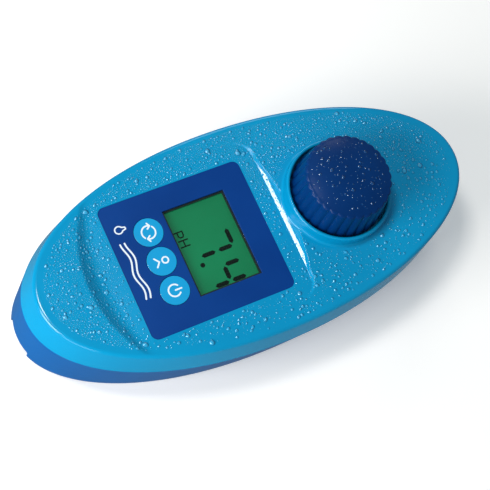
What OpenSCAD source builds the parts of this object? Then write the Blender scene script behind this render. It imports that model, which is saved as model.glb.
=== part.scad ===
// Digital pool-water tester: an oval two-part casing, a tilted display block with a membrane keypad,
// a dark push-in light cap over a clear sample cell, and the electronics and optics inside.
// +X runs from the user's end to the cap end, +Z is up, and the origin is the middle of the base.

/* [Casing] */
// Overall length of the casing
case_length = 145; // [125:1:180]
// Overall width of the casing
case_width = 68; // [66:1:84]
// Height of the top rim at mid-length
rim_height = 29; // [28.5:0.5:33]
// Height of the seam between the two shells
seam_height = 17; // [15:0.5:18]
// Wall thickness of both shells at the side
side_wall = 2.4; // [2:0.1:3]
// Wall thickness of the upper shell's top
top_wall = 2.0; // [1.6:0.1:2.6]
// Thickness of the lower shell's floor
floor_wall = 2.0; // [1.6:0.1:3]
// Height of the floor's underside above the table
foot_height = 1.2; // [0.8:0.1:2]
// Width of the finger notch at the user's end
notch_width = 12; // [8:1:20]
// Height of the finger notch
notch_height = 2.9; // [2:0.1:4]

/* [Display block] */
// Slope of the display towards the user, in degrees
display_tilt = 2.9; // [2.5:0.1:4]
// Length of the keypad panel along the casing
panel_length = 46.6; // [45:0.2:48]
// Width of the keypad panel
panel_width = 43.2; // [40:0.2:48]
// Length of the visible display window
window_length = 20.3; // [16:0.1:22]
// Width of the visible display window
window_width = 28.4; // [22:0.1:32]
// Diameter of each key
key_diameter = 8.9; // [7:0.1:9.5]
// Distance between neighbouring keys
key_pitch = 9.64; // [9.6:0.02:12]
// Travel of each key
key_travel = 0.3; // [0.15:0.05:0.35]

/* [Sample cell and cap] */
// Place of the sample cell along the casing
cell_x = 29; // [28.5:0.5:36]
// Inner diameter of the sample cell
cell_bore = 22.4; // [18:0.2:23]
// Wall of the sample cell
cell_wall = 1.5; // [1.2:0.1:2]
// Overall height of the tester, to the top of the cap
overall_height = 47; // [44:0.5:52]
// Diameter of the cap at its foot
cap_foot_diameter = 30; // [28.6:0.2:33]
// Diameter of the cap at its top edge
cap_top_diameter = 26.8; // [24:0.2:28]
// Number of grip flutes on the cap
flute_count = 30; // [20:1:40]
// Gap between the cap and the collar around it
cap_gap = 0.5; // [0.4:0.1:1]

/* [Batteries and electronics] */
// Length of one battery cell
battery_length = 44.5; // [42:0.5:46]
// Diameter of one battery cell
battery_diameter = 10.5; // [9:0.1:11]
// Thickness of the circuit boards
board_thickness = 1.6; // [1:0.1:2]
// Radius of the casing screws' shanks
screw_radius = 1.25; // [1:0.05:1.5]

/* [Hidden] */
$fn = 64;
slip = 0.05;       // gap between pieces that slide or seat in each other
over = 1;          // how far a cutting tool runs past the face it opens
outline_steps = 96; // points round each casing outline

// Colours
light_blue = [0.02, 0.55, 0.80];
mid_blue = [0.02, 0.35, 0.65];
navy = [0.01, 0.17, 0.48];
board_green = [0.05, 0.35, 0.18];
metal = [0.78, 0.78, 0.76];
dark = [0.08, 0.08, 0.09];

// Casing outlines: [user end, cap end, half width]
base_oval = [-case_length / 2 - 0.2, case_length / 2 - 2, case_width / 2 - 2.5];
seam_oval = [-case_length / 2 + 1.5, case_length / 2, case_width / 2];
rim_oval = [-case_length / 2 + 4, case_length / 2 - 0.5, case_width / 2 - 0.8];
squareness = 2.06; // exponent of the outline: 2 is an ellipse
egg = 0.02;        // the outline is slightly fuller at the user's end
rim_bow = 1.0;     // rise of the rim at both ends above a straight rim
crown = 1.6;       // how far the top bulges above the rim
rim_round = 1.4;   // rounding of the rim's edge
base_round = 0.6;  // rounding of the foot's edge

function signed_pow(v, p) = sign(v) * pow(abs(v), p);
function oval_x(o, inset, t) = ((o[1] - o[0]) / 2 - inset) * signed_pow(cos(t), 2 / squareness);
function oval_point(o, inset, t) =
    let (x = oval_x(o, inset, t), share = x / ((o[1] - o[0]) / 2))
    [(o[0] + o[1]) / 2 + x, (o[2] - inset) * signed_pow(sin(t), 2 / squareness) * (1 - egg * share)];
function step_angle(i) = 360 * i / outline_steps;
function oval_outline(o, inset) = [for (i = [0:outline_steps - 1]) oval_point(o, inset, step_angle(i))];
function rim_z(x) = rim_height + tan(display_tilt) * x + rim_bow * pow(2 * x / case_length, 2);
// A ring at one height
function flat_ring(o, inset, z) = [for (p = oval_outline(o, inset)) [p[0], p[1], z]];
// A ring that follows the rim, a given depth below it
function rim_ring(inset, depth) =
    [for (p = oval_outline(rim_oval, inset)) [p[0], p[1], rim_z(p[0]) - depth]];
// A ring of the crowned top, at a share of the way from the middle to the rim
function top_point(t, inset, share, depth) =
    let (p = oval_point(rim_oval, inset, t), mid = (rim_oval[0] + rim_oval[1]) / 2,
         x = mid + (p[0] - mid) * share)
    [x, p[1] * share, rim_z(x) + crown * (1 - share * share) - depth];
function top_ring(inset, share, depth) =
    [for (i = [0:outline_steps - 1]) top_point(step_angle(i), inset, share, depth)];
function top_middle(depth) =
    let (x = (rim_oval[0] + rim_oval[1]) / 2) [x, 0, rim_z(x) + crown - depth];

// A closed solid through a stack of rings, each with the same number of points. The first ring is
// flat and is closed as it is; the last is closed round the point called peak.
module ring_stack(rings, peak) {
    n = len(rings[0]);
    last = len(rings) - 1;
    points = concat([for (r = rings, p = r) p], [peak]);
    sides = [for (k = [0:last - 1], i = [0:n - 1]) let (j = (i + 1) % n)
        each [[k * n + i, (k + 1) * n + i, k * n + j], [k * n + j, (k + 1) * n + i, (k + 1) * n + j]]];
    lid = [for (i = [0:n - 1]) [last * n + i, last * n + n, last * n + (i + 1) % n]];
    polyhedron(points, concat([[for (i = [0:n - 1]) i]], sides, lid));
}

// A tube of diameter d swept along a route of points
module cable(route, d, sides = 8) {
    last = len(route) - 1;
    heading = [for (i = [0:last]) let (v = route[min(i + 1, last)] - route[max(i - 1, 0)]) v / norm(v)];
    rings = [for (i = [0:last]) let (
        f = heading[i],
        a = cross(f, abs(f[2]) > 0.9 ? [0, 1, 0] : [0, 0, 1]),
        u = a / norm(a),
        v = cross(f, u))
        [for (s = [0:sides - 1]) route[i] + d / 2 * (cos(360 * s / sides) * u + sin(360 * s / sides) * v)]];
    points = [for (r = rings, p = r) p];
    walls = [for (k = [0:last - 1], s = [0:sides - 1]) let (j = (s + 1) % sides)
        each [[k * sides + s, (k + 1) * sides + s, k * sides + j],
              [k * sides + j, (k + 1) * sides + s, (k + 1) * sides + j]]];
    polyhedron(points, concat([[for (s = [0:sides - 1]) s]], walls,
        [[for (s = [sides - 1:-1:0]) last * sides + s]]));
}

// A smooth curve through four control points, in the given number of steps
function curve(p, steps) = [for (i = [0:steps]) let (t = i / steps, s = 1 - t)
    s * s * s * p[0] + 3 * s * s * t * p[1] + 3 * s * t * t * p[2] + t * t * t * p[3]];

module tube(r_out, r_in, z0, z1) {
    difference() {
        translate([0, 0, z0]) cylinder(r = r_out, h = z1 - z0);
        translate([0, 0, z0 - over]) cylinder(r = r_in, h = z1 - z0 + 2 * over);
    }
}

module box(low, high) {
    translate(low) cube(high - low);
}

// A rectangle with rounded corners, made of straight sides and true arcs
module rounded_outline(length, width, r) {
    translate([0, -width / 2 + r]) square([length, width - 2 * r]);
    translate([r, -width / 2]) square([length - 2 * r, width]);
    for (x = [r, length - r], y = [-1, 1])
        translate([x, y * (width / 2 - r)]) circle(r = r);
}

module slab(length, width, r, z0, z1) {
    translate([0, 0, z0]) linear_extrude(z1 - z0) rounded_outline(length, width, r);
}

// ---------------------------------------------------------------- display recess
// The display frame: its origin is the middle of the panel's lower edge, x runs up the panel, and
// z stands out of it. The recess is a flat floor cut into the crowned top.
panel_x = -41.2;
panel_z = rim_height - 2.26;
panel_corner = 2.2;
side_border = 1.1;         // flat border beside the panel, before the recess's sides climb
side_slope = 9;            // slope of the recess's sides, in degrees
recess_margin_side = 4.9;  // the sides have met the crowned top within this distance of the panel
recess_margin_top = 5.2;   // border between the panel and the foot of the end wall
recess_corner = 6;
deck_thickness = 3.6;
overlay_recess = 0.1;      // the panel lies this far below the recess's floor
overlay_thickness = 0.6;
spacer_thickness = 0.7;
circuit_thickness = 0.2;
overlay_low = -overlay_recess - overlay_thickness;
spacer_low = overlay_low - spacer_thickness;
pocket_floor = spacer_low - circuit_thickness;
window_x = panel_length - 28.3; // start of the window, from the panel's lower edge
window_seat = 0.5;         // ledge under the window's edge
lcd_top = spacer_low - 0.05;
lcd_thickness = 2.2;
lcd_margin = 1.0;
lcd_low = lcd_top - lcd_thickness;
board_top = lcd_low - 4;
board_low = board_top - board_thickness;
key_row_x = window_x - 6.3;
key_clearance = 0.12;
dome_height = spacer_thickness - key_travel - slip;
recess_length = panel_length + recess_margin_top;
recess_width = panel_width + 2 * recess_margin_side;
lens_width = 40;           // chord of the lens-shaped end wall
lens_reach = 2.6;          // how far its upper edge stands beyond its foot
lens_slope = 37;           // slope of the end wall, in degrees
lens_radius = (pow(lens_width / 2, 2) + pow(lens_reach, 2)) / (2 * lens_reach);
scoop_radius = 47.5;       // plan radius of the scoop's upper edge
scoop_reach = 11.3;        // how far that edge stands out from the panel
scoop_rise = 1.3;          // height of that edge above the panel's plane
scoop_slopes = [38.7, 16.6]; // the concave wall as two slopes, in degrees
scoop_bend = 1.6;          // the wall bends this far in from its edge
scoop_fall = 5.7;          // slope of the scoop's floor away from the panel, in degrees
recess_start = -0.3;       // where the recess's floor begins, below the panel's edge

module in_display() {
    translate([panel_x, 0, panel_z]) rotate([0, -display_tilt, 0]) children();
}

module at_keys() {
    for (k = [-1:1]) translate([key_row_x, k * key_pitch, 0]) children();
}

// Everything within the rim, so that no cut runs through the outer wall
module inside_rim() {
    intersection() {
        children();
        translate([0, 0, seam_height]) linear_extrude(30) polygon(oval_outline(rim_oval, 1.9));
    }
}

// Floor of the display recess: a long rounded rectangle, square where it meets the scoop
module recess_outline() {
    translate([recess_start, -recess_width / 2]) square([recess_length / 2, recess_width]);
    translate([recess_start, 0])
        rounded_outline(recess_length - recess_start, recess_width, recess_corner);
}

// Cut of the lens-shaped end wall, which climbs from the recess's floor to the crowned top
module lens_cut() {
    intersection() {
        translate([recess_length + lens_reach - lens_radius, 0, -1])
            cylinder(r = lens_radius, h = 12, $fn = 128);
        translate([recess_length - 0.01, 0, 0]) rotate([0, -lens_slope, 0])
            translate([0, -lens_width / 2, 0]) cube([12, lens_width, 12]);
        translate([recess_length - 0.01, -lens_width / 2, 0]) cube([6, lens_width, 8]);
    }
}

// A cone round the scoop's axis that passes through the given radius at height w
module scoop_cone(r, w, slope) {
    translate([scoop_radius - scoop_reach, 0, w - 4])
        cylinder(r1 = r - 4 / tan(slope), r2 = r + 8 / tan(slope), h = 12, $fn = 128);
}

// The scoop falls gently from the panel's edge, then climbs to the top along a concave curved wall
module scoop_cut() {
    bend_w = scoop_rise - scoop_bend * tan(scoop_slopes[0]);
    intersection() {
        scoop_cone(scoop_radius, scoop_rise, scoop_slopes[0]);
        scoop_cone(scoop_radius - scoop_bend, bend_w, scoop_slopes[1]);
        rotate([0, -scoop_fall, 0]) translate([-30, -recess_width, 0]) cube([32, 2 * recess_width, 9]);
        translate([-30, -recess_width, -3]) cube([30.2, 2 * recess_width, 10]);
    }
}

// The recess's sides climb gently from beside the panel to the crowned top
module side_limits() {
    foot = panel_width / 2 + side_border;
    low = 1.2;
    high = 4;
    translate([-40, 0, 0]) rotate([90, 0, 90]) linear_extrude(120) polygon([
        [-foot - high / tan(side_slope), high], [-foot + low / tan(side_slope), -low],
        [foot - low / tan(side_slope), -low], [foot + high / tan(side_slope), high],
    ]);
}

module recess_cut() {
    inside_rim() in_display() intersection() {
        side_limits();
        union() {
            linear_extrude(8) recess_outline();
            lens_cut();
            scoop_cut();
        }
    }
}

// Thick floor under the recess
module display_deck() {
    intersection() {
        in_display() translate([-scoop_reach - 1.5, -recess_width / 2, -deck_thickness])
            cube([scoop_reach + recess_length + 3, recess_width, deck_thickness + 2]);
        upper_solid();
    }
}

// ---------------------------------------------------------------- cell and cap levels
floor_low = foot_height;
floor_top = floor_low + floor_wall;
cell_inner = cell_bore / 2;
cell_outer = cell_inner + cell_wall;
cell_floor_top = floor_top + 1.4;
collar_top = rim_height + 6.8;
collar_recess_z = collar_top - 3.2;
cell_mouth = collar_recess_z + 1.6;
cap_foot_r = cap_foot_diameter / 2;
cap_top_r = cap_top_diameter / 2;
collar_inner = cap_foot_r + cap_gap;
collar_outer = collar_inner + 1.1;
collar_foot = collar_outer + 0.3;
ledge_thickness = 3.6;
cell_flange_r = cell_outer + 2.6;
cell_flange_top = collar_recess_z - ledge_thickness;
cell_flange_thickness = 1.6;
seal_inner = cell_outer + 0.36;  // the gasket that sits in the flange's groove
seal_outer = seal_inner + 1.48;
seal_height = 0.9;
seal_section = 0.75;       // radius of the O-rings' cord
cap_foot_z = collar_recess_z + 0.4;
cap_edge_z = overall_height - 1.4;
cap_skirt_inner = cell_outer + 0.5;
plug_flange_z = cell_mouth + 0.02;
plug_flange_thickness = 1.6;
plug_r = cell_inner - 0.4;
plug_low = cell_mouth - 4.2;
plug_groove_r = cell_inner - 2 * seal_section - 2 * slip;
plug_groove_z = plug_low + 1.9;

module at_cell() {
    translate([cell_x, 0, 0]) children();
}

// ---------------------------------------------------------------- screws
screw_head_r = 2.3;
screw_head_h = 1.6;
post_r = 3.5;
post_top = seam_height - 2;
screw_seat = post_top - 4;
screw_length = 11;
end_screw_x = -case_length / 2 + 26.5;
end_screw_room = 0.18;  // between a post by the user's end and the side wall

// Half the casing's width at the seam
function seam_half_width(x) =
    let(share = (2 * x - seam_oval[0] - seam_oval[1]) / (seam_oval[1] - seam_oval[0]))
    seam_oval[2] * (1 - egg * share) * pow(1 - pow(abs(share), squareness), 1 / squareness);

end_screw_y = seam_half_width(end_screw_x) - side_wall - post_r - end_screw_room;
// Places of the casing screws: two by the user's end, two beside the display, one at the cap end
screw_places = [
    [end_screw_x, end_screw_y],
    [end_screw_x, -end_screw_y],
    [9, case_width / 2 - 8.5],
    [9, -case_width / 2 + 8.5],
    [case_length / 2 - 12.5, 0],
];

module at_screws() {
    for (p = screw_places) translate([p[0], p[1], 0]) children();
}

// ---------------------------------------------------------------- casing
module upper_solid() {
    ring_stack([
        flat_ring(seam_oval, 0, seam_height),
        rim_ring(0, rim_round),
        rim_ring(rim_round * 0.3, rim_round * 0.3),
        top_ring(rim_round, 1, 0),
        for (share = [0.9, 0.75, 0.6, 0.45, 0.3, 0.15]) top_ring(rim_round, share, 0),
    ], top_middle(0));
}

module upper_hollow() {
    ring_stack([
        flat_ring(seam_oval, side_wall, seam_height - over),
        rim_ring(side_wall, top_wall + 1.5),
        for (share = [0.97, 0.75, 0.5, 0.25]) top_ring(side_wall, share, top_wall),
    ], top_middle(top_wall));
}

// The lip's crest is rounded on both sides, and a small fillet widens its foot
module collar() {
    lip = 0.5;
    at_cell() rotate_extrude() polygon([
        [cell_outer + 2 * slip, collar_recess_z - ledge_thickness],
        [collar_foot, collar_recess_z - ledge_thickness],
        [collar_foot, collar_top - 3.6],
        [collar_outer, collar_top - 2.2],
        [collar_outer, collar_top - lip],
        [collar_outer - lip * 0.4, collar_top - lip * 0.24],
        [collar_outer - lip, collar_top],
        [collar_inner + lip, collar_top],
        [collar_inner + lip * 0.24, collar_top - lip * 0.24],
        [collar_inner, collar_top - lip],
        [collar_inner, collar_recess_z],
        [cell_outer + 2 * slip, collar_recess_z],
    ]);
}

module upper_shell() {
    color(light_blue) difference() {
        union() {
            difference() {
                upper_solid();
                upper_hollow();
            }
            display_deck();
            collar();
            intersection() {
                at_screws() tube(post_r, screw_radius + 0.02, post_top + 0.2, rim_height + 6);
                upper_solid();
            }
            in_display() at_board_holes() tube(2, 0.8, board_top, -deck_thickness + 0.1);
        }
        recess_cut();
        // Pocket for the keypad layers
        in_display() slab_at_panel(slip, panel_corner, pocket_floor, 8);
        // Opening for the display and slot for the keypad's tail
        in_display() box([window_x - lcd_margin - 0.3, -window_width / 2 - lcd_margin - 0.3, -9],
            [window_x + window_length + lcd_margin + 0.3, window_width / 2 + lcd_margin + 0.3, 1]);
        in_display() box([1.2, -5.4, -9], [2.4, 5.4, 0]);
        // Way through for the cell and the cap
        at_cell() translate([0, 0, collar_recess_z]) cylinder(r = collar_inner, h = 20);
        at_cell() translate([0, 0, 2]) cylinder(r = cell_outer + 2 * slip, h = 40);
    }
}

module slab_at_panel(grow, r, z0, z1) {
    translate([-grow, 0, 0]) slab(panel_length + 2 * grow, panel_width + 2 * grow, r, z0, z1);
}

module lower_solid() {
    ring_stack([
        flat_ring(base_oval, base_round, 0),
        flat_ring(base_oval, 0, base_round),
        flat_ring(seam_oval, 0, seam_height),
    ], [0, 0, seam_height]);
}

module lower_hollow() {
    ring_stack([
        flat_ring(base_oval, side_wall + 0.3, floor_top),
        flat_ring(seam_oval, side_wall, seam_height),
        flat_ring(seam_oval, side_wall, seam_height + over),
    ], [0, 0, seam_height + over]);
}

battery_gap = 1.2;                // between the two cells
battery_y = (battery_diameter + battery_gap) / 2;
battery_z = floor_top + 0.3 + battery_diameter / 2;
battery_start = -48;
contact_space = 4;                // room for springs and plates at each end
holder_wall = 1.2;
bay_length = battery_length + 2 * contact_space;
bay_width = 2 * battery_diameter + battery_gap + 1;
bay_top = battery_z + battery_diameter / 2 + 0.5;
bay_low_x = battery_start - contact_space;
cover_end_margin = 6.4;           // room for the screws beyond the seal
cover_side_margin = 3;
cover_thickness = floor_wall - 0.2;
cover_x = bay_low_x - cover_end_margin;
cover_length = bay_length + 2 * cover_end_margin;
cover_width = bay_width + 2 * cover_side_margin;
cover_corner = 4;
cover_screw_r = 0.9;
cover_post_r = 2;                 // posts that the cover's screws go into
cover_screw_inset = 2.3;          // from the cover's ends
cover_counterbore = 0.9;          // depth of the seats for the screws' heads

module cover_outline(grow) {
    translate([cover_x - grow, 0]) rounded_outline(cover_length + 2 * grow, cover_width + 2 * grow,
        cover_corner + grow);
}

module at_cover_screws() {
    for (x = [cover_x + cover_screw_inset, cover_x + cover_length - cover_screw_inset],
         y = [-1, 1] * (cover_width / 2 - 5))
        translate([x, y, 0]) children();
}

ledge_z = floor_top;
cover_pad = 1.2;   // thickness of the sealing ledge over the cover
gasket_depth = 0.9; // height of the casing's gasket
cover_seal_height = 0.6;

module lower_shell() {
    color(mid_blue) difference() {
        union() {
            difference() {
                lower_solid();
                lower_hollow();
            }
            // Posts for the casing screws
            at_screws() translate([0, 0, floor_low]) cylinder(r = post_r, h = post_top - floor_low);
            // Sealing ledge over the battery cover
            translate([0, 0, floor_low]) linear_extrude(floor_wall + cover_pad) difference() {
                cover_outline(1.6);
                translate([bay_low_x, -bay_width / 2]) square([bay_length, bay_width]);
            }
            at_cover_screws() translate([0, 0, floor_low]) cylinder(r = cover_post_r, h = 5.4);
            // Pedestals for the optics and a ring that centres the sample cell
            for (x = [led_face - optics_depth, detector_face])
                box([x, -5, floor_low], [x + optics_depth, 5, optics_low]);
            at_cell() tube(cell_outer + 1.3, cell_outer + slip, floor_low, floor_top + 3);
        }
        // The floor is raised off the table inside the foot
        translate([0, 0, -over]) linear_extrude(foot_height + over) polygon(oval_outline(base_oval, 3));
        translate([base_oval[0] - over, -notch_width / 2, -over])
            cube([side_wall + 0.2 + over, notch_width, notch_height + over]);
        // Screw ways, from below
        at_screws() translate([0, 0, -over]) cylinder(r = screw_head_r + 0.3, h = screw_seat + over);
        at_screws() translate([0, 0, -over]) cylinder(r = screw_radius + 0.15, h = seam_height);
        // Battery opening
        translate([bay_low_x, -bay_width / 2, -over]) cube([bay_length, bay_width, 20]);
        translate([0, 0, -over]) linear_extrude(over + ledge_z) cover_outline(0.15);
        at_cover_screws() cylinder(r = cover_screw_r + 0.02, h = 9);
        // Groove for the cover's seal and for the casing's seal
        translate([0, 0, ledge_z - over]) linear_extrude(over + cover_seal_height) seal_band(slip);
        translate([0, 0, seam_height - gasket_depth]) linear_extrude(2) gasket_band(0.5);
    }
}

// Plan of the casing's gasket, in the middle of the side wall
module gasket_band(half) {
    difference() {
        polygon(oval_outline(seam_oval, side_wall / 2 - half));
        polygon(oval_outline(seam_oval, side_wall / 2 + half));
    }
}

// Plan of the battery cover's seal, grown on both sides
module seal_band(grow) {
    difference() {
        translate([bay_low_x - 1.9 - grow, 0])
            rounded_outline(bay_length + 3.8 + 2 * grow, bay_width + 3.8 + 2 * grow, 2 + grow);
        translate([bay_low_x - 0.8 + grow, 0])
            rounded_outline(bay_length + 1.6 - 2 * grow, bay_width + 1.6 - 2 * grow, 1 - grow);
    }
}

module case_seal() {
    color(dark) translate([0, 0, seam_height - gasket_depth]) linear_extrude(gasket_depth)
        gasket_band(0.45);
}

module case_screws() {
    color(metal) at_screws() difference() {
        union() {
            translate([0, 0, screw_seat - screw_head_h]) cylinder(r = screw_head_r, h = screw_head_h);
            translate([0, 0, screw_seat]) cylinder(r = screw_radius, h = screw_length);
        }
        cross_slot(screw_seat - screw_head_h, 2.6);
    }
}

module cross_slot(z, length) {
    for (a = [0, 90]) rotate([0, 0, a]) box([-length / 2, -0.35, z - over], [length / 2, 0.35, z + 0.8]);
}

// ---------------------------------------------------------------- batteries
module battery_cover() {
    color(mid_blue) difference() {
        translate([0, 0, ledge_z - cover_thickness]) linear_extrude(cover_thickness) cover_outline(0);
        at_cover_screws() cylinder(r = cover_screw_r + 0.1, h = 8);
        at_cover_screws() cylinder(r = 1.9, h = ledge_z - cover_thickness + cover_counterbore);
        // Grip grooves
        for (k = [-2:2]) translate([cover_x + cover_length - 10 + k * 1.6, 0, 0])
            box([-0.4, -7, 0], [0.4, 7, ledge_z - cover_thickness + 0.5]);
    }
}

module battery_cover_seal() {
    color(dark) translate([0, 0, ledge_z]) linear_extrude(cover_seal_height) seal_band(0);
}

module battery_cover_screws() {
    z = ledge_z - cover_thickness + cover_counterbore;
    head = 0.8;
    color(metal) at_cover_screws() difference() {
        union() {
            translate([0, 0, z - head]) cylinder(r = 1.7, h = head);
            translate([0, 0, z]) cylinder(r = cover_screw_r, h = 4.6);
        }
        cross_slot(z - head, 1.9);
    }
}

module battery_holder() {
    gap = 0.2;
    low = ledge_z + cover_pad + slip;
    color(dark) difference() {
        box([bay_low_x - holder_wall, -bay_width / 2 - holder_wall, low],
            [bay_low_x + bay_length + holder_wall, bay_width / 2 + holder_wall, bay_top + holder_wall]);
        box([bay_low_x, -bay_width / 2, low - over], [bay_low_x + bay_length, bay_width / 2, bay_top]);
        // Ways out for the leads
        for (y = [-1, 1]) translate([bay_low_x + bay_length - over, y * battery_y, bay_top - 1.6])
            rotate([0, 90, 0]) cylinder(r = 0.8, h = 6);
        // Room for the cover screws' posts
        at_cover_screws() cylinder(r = cover_post_r + gap, h = 8);
    }
}

module battery(side) {
    flip = side > 0 ? 1 : -1;
    nub = 1;
    color(side > 0 ? [0.75, 0.62, 0.2] : [0.72, 0.6, 0.2])
        translate([battery_start + battery_length / 2, side * battery_y, battery_z])
        rotate([0, 90 * flip, 0]) translate([0, 0, -battery_length / 2]) {
            cylinder(r = battery_diameter / 2, h = battery_length - nub);
            translate([0, 0, battery_length - nub]) cylinder(r = 1.9, h = nub);
        }
}

spring_space = contact_space - 0.4;

// A coil spring as a stack of rings that narrows towards the cell
module battery_springs() {
    color(metal) for (side = [-1, 1]) {
        x = side > 0 ? battery_start : battery_start + battery_length;
        translate([x, side * battery_y, battery_z]) rotate([0, side > 0 ? -90 : 90, 0])
            for (k = [0:3]) translate([0, 0, 0.45 + k * (spring_space - 0.9) / 3])
                rotate_extrude() translate([2.2 + 0.45 * k, 0]) circle(r = 0.32, $fn = 16);
    }
}

module battery_contacts() {
    plate = 0.3;
    color(metal) {
        // Plates behind the springs and the opposite terminals, one pair bridged at the user's end
        box([bay_low_x, -battery_y - 4, battery_z - 4],
            [bay_low_x + plate, battery_y + 4, battery_z + 4]);
        for (y = [-1, 1]) box([bay_low_x + bay_length - plate, y * battery_y - 4, battery_z - 4],
            [bay_low_x + bay_length, y * battery_y + 4, battery_z + 3]);
        // Bump that reaches the positive cap of each cell
        translate([bay_low_x + plate, -battery_y, battery_z]) rotate([0, 90, 0])
            cylinder(r1 = 3, r2 = 1.5, h = contact_space - plate - slip);
        translate([bay_low_x + bay_length - plate, battery_y, battery_z]) rotate([0, -90, 0])
            cylinder(r1 = 3, r2 = 1.5, h = contact_space - plate - slip);
    }
}

lead_diameter = 1.1;
lead_x = bay_low_x + bay_length - 0.1;
lead_z = bay_top - 1.6;

module battery_lead(side) {
    start = [lead_x, side * battery_y, lead_z];
    foot = display_to_case([board_x + board_length - 1, side * 3, board_low - lead_diameter / 2 - 0.1]);
    color(side > 0 ? [0.75, 0.05, 0.05] : [0.05, 0.05, 0.05])
        cable(curve([start, start + [5, 0, 0], foot + [6, 0, -1], foot], 12), lead_diameter);
}

// A point of the display frame in the casing's frame
function display_to_case(p) = [
    panel_x + p[0] * cos(display_tilt) - p[2] * sin(display_tilt), p[1],
    panel_z + p[0] * sin(display_tilt) + p[2] * cos(display_tilt),
];

// ---------------------------------------------------------------- keypad and display
module keypad_overlay() {
    color(navy) in_display() difference() {
        slab_at_panel(0, panel_corner, overlay_low, -overlay_recess);
        at_keys() translate([0, 0, -3]) cylinder(r = key_diameter / 2 + key_clearance, h = 6);
        box([window_x, -window_width / 2, -3], [window_x + window_length, window_width / 2, 3]);
    }
}

module key(row) {
    color(light_blue) in_display() translate([key_row_x, row * key_pitch, overlay_low])
        cylinder(r = key_diameter / 2, h = overlay_thickness);
}

module keypad_spacer() {
    color([0.85, 0.85, 0.8]) in_display() difference() {
        slab_at_panel(-0.4, panel_corner - 0.4, spacer_low, overlay_low);
        at_keys() translate([0, 0, -3]) cylinder(r = key_diameter / 2 + 0.2, h = 6);
        box([window_x + window_seat, -window_width / 2 + window_seat, -3],
            [window_x + window_length - window_seat, window_width / 2 - window_seat, 3]);
    }
}

module keypad_circuit() {
    tail_low = board_top + 1.2;
    color([0.8, 0.55, 0.2]) in_display() {
        difference() {
            slab_at_panel(-0.4, panel_corner - 0.4, pocket_floor, spacer_low);
            box([window_x - lcd_margin - 0.3, -window_width / 2 - lcd_margin - 0.3, -9],
                [window_x + window_length + lcd_margin + 0.3, window_width / 2 + lcd_margin + 0.3, 1]);
        }
        box([1.6, -4.5, tail_low], [1.8, 4.5, pocket_floor + 0.1]);
    }
}

module key_domes() {
    color(metal) in_display() at_keys() translate([0, 0, spacer_low])
        cylinder(r1 = 3, r2 = 1.6, h = dome_height);
}

module display_window() {
    color([0.8, 0.9, 0.85, 0.4]) in_display()
        box([window_x + slip, -window_width / 2 + slip, overlay_low],
            [window_x + window_length - slip, window_width / 2 - slip, -overlay_recess]);
}

module lcd_glass() {
    color([0.03, 0.5, 0.28]) in_display()
        box([window_x - lcd_margin, -window_width / 2 - lcd_margin, lcd_low],
            [window_x + window_length + lcd_margin, window_width / 2 + lcd_margin, lcd_top]);
}

zebra_width = 1.2;
zebra_inset = 0.2;
backlight_thickness = 2.5;

module lcd_backlight() {
    color([0.7, 0.95, 0.75]) in_display()
        box([window_x + zebra_width, -window_width / 2, lcd_low - backlight_thickness],
            [window_x + window_length - zebra_width, window_width / 2, lcd_low]);
}

module zebra_strips() {
    color([0.85, 0.6, 0.65]) in_display() for (x = [window_x - lcd_margin + zebra_inset,
        window_x + window_length + lcd_margin - zebra_inset - zebra_width])
        box([x, -window_width / 2 + 0.5, board_top], [x + zebra_width, window_width / 2 - 0.5, lcd_low]);
}

module lcd_frame() {
    fit = lcd_margin + 0.1;
    rail = 1.5;
    top = -deck_thickness - 0.05;
    color(dark) in_display() difference() {
        box([window_x - fit - rail, -window_width / 2 - fit - rail, board_top],
            [window_x + window_length + fit + rail, window_width / 2 + fit + rail, top]);
        box([window_x - fit, -window_width / 2 - fit, board_top - over],
            [window_x + window_length + fit, window_width / 2 + fit, top + over]);
    }
}

module at_board_holes() {
    for (x = [board_x + 3, board_x + board_length - 3], y = [-1, 1] * (board_width / 2 - 2.6))
        translate([x, y, 0]) children();
}

board_screw_head = 1.2;

board_x = 3;
board_length = panel_length - 2.6;
board_width = max(window_width + 14, 40);

module main_board() {
    color(board_green) in_display() difference() {
        translate([board_x, 0, 0]) slab(board_length, board_width, 1.5, board_low, board_top);
        at_board_holes() translate([0, 0, board_low - over]) cylinder(r = 1.1, h = 5);
    }
}

module board_screws() {
    color(metal) in_display() at_board_holes() difference() {
        union() {
            translate([0, 0, board_low - board_screw_head]) cylinder(r = 1.9, h = board_screw_head);
            translate([0, 0, board_low]) cylinder(r = 0.78, h = board_thickness + 3);
        }
        cross_slot(board_low - board_screw_head, 2.2);
    }
}

module microcontroller() {
    half = 5;
    pins = 11;
    pin_pitch = 0.8;
    color(dark) in_display() translate([24, 0, board_low]) {
        box([-half, -half, -1.3], [half, half, -0.1]);
        for (a = [0:90:270], k = [0:pins - 1]) rotate([0, 0, a])
            translate([0, (k - (pins - 1) / 2) * pin_pitch, 0])
                box([half - 0.2, -0.15, -0.6], [half + 0.9, 0.15, 0]);
    }
}

module board_components() {
    color([0.6, 0.5, 0.4]) in_display() translate([0, 0, board_low]) {
        // Rows of chip resistors and capacitors, a crystal and the tail's connector on the upper face
        for (k = [0:6], side = [-1, 1]) translate([13 + k * 3.4, side * 11, 0])
            box([-1, -0.6, -0.6], [1, 0.6, 0]);
        box([36.5, -3, -1.1], [38.7, 3, 0]);
        translate([0, 0, board_thickness]) box([3.4, -6, 0], [6.4, 6, 1.1]);
    }
}

module beeper() {
    height = 1.4;
    color(dark) in_display() translate([10, 0, board_low - height]) difference() {
        cylinder(r = 4.5, h = height);
        translate([0, 0, -over]) cylinder(r = 0.8, h = over + 0.6);
    }
}

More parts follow.
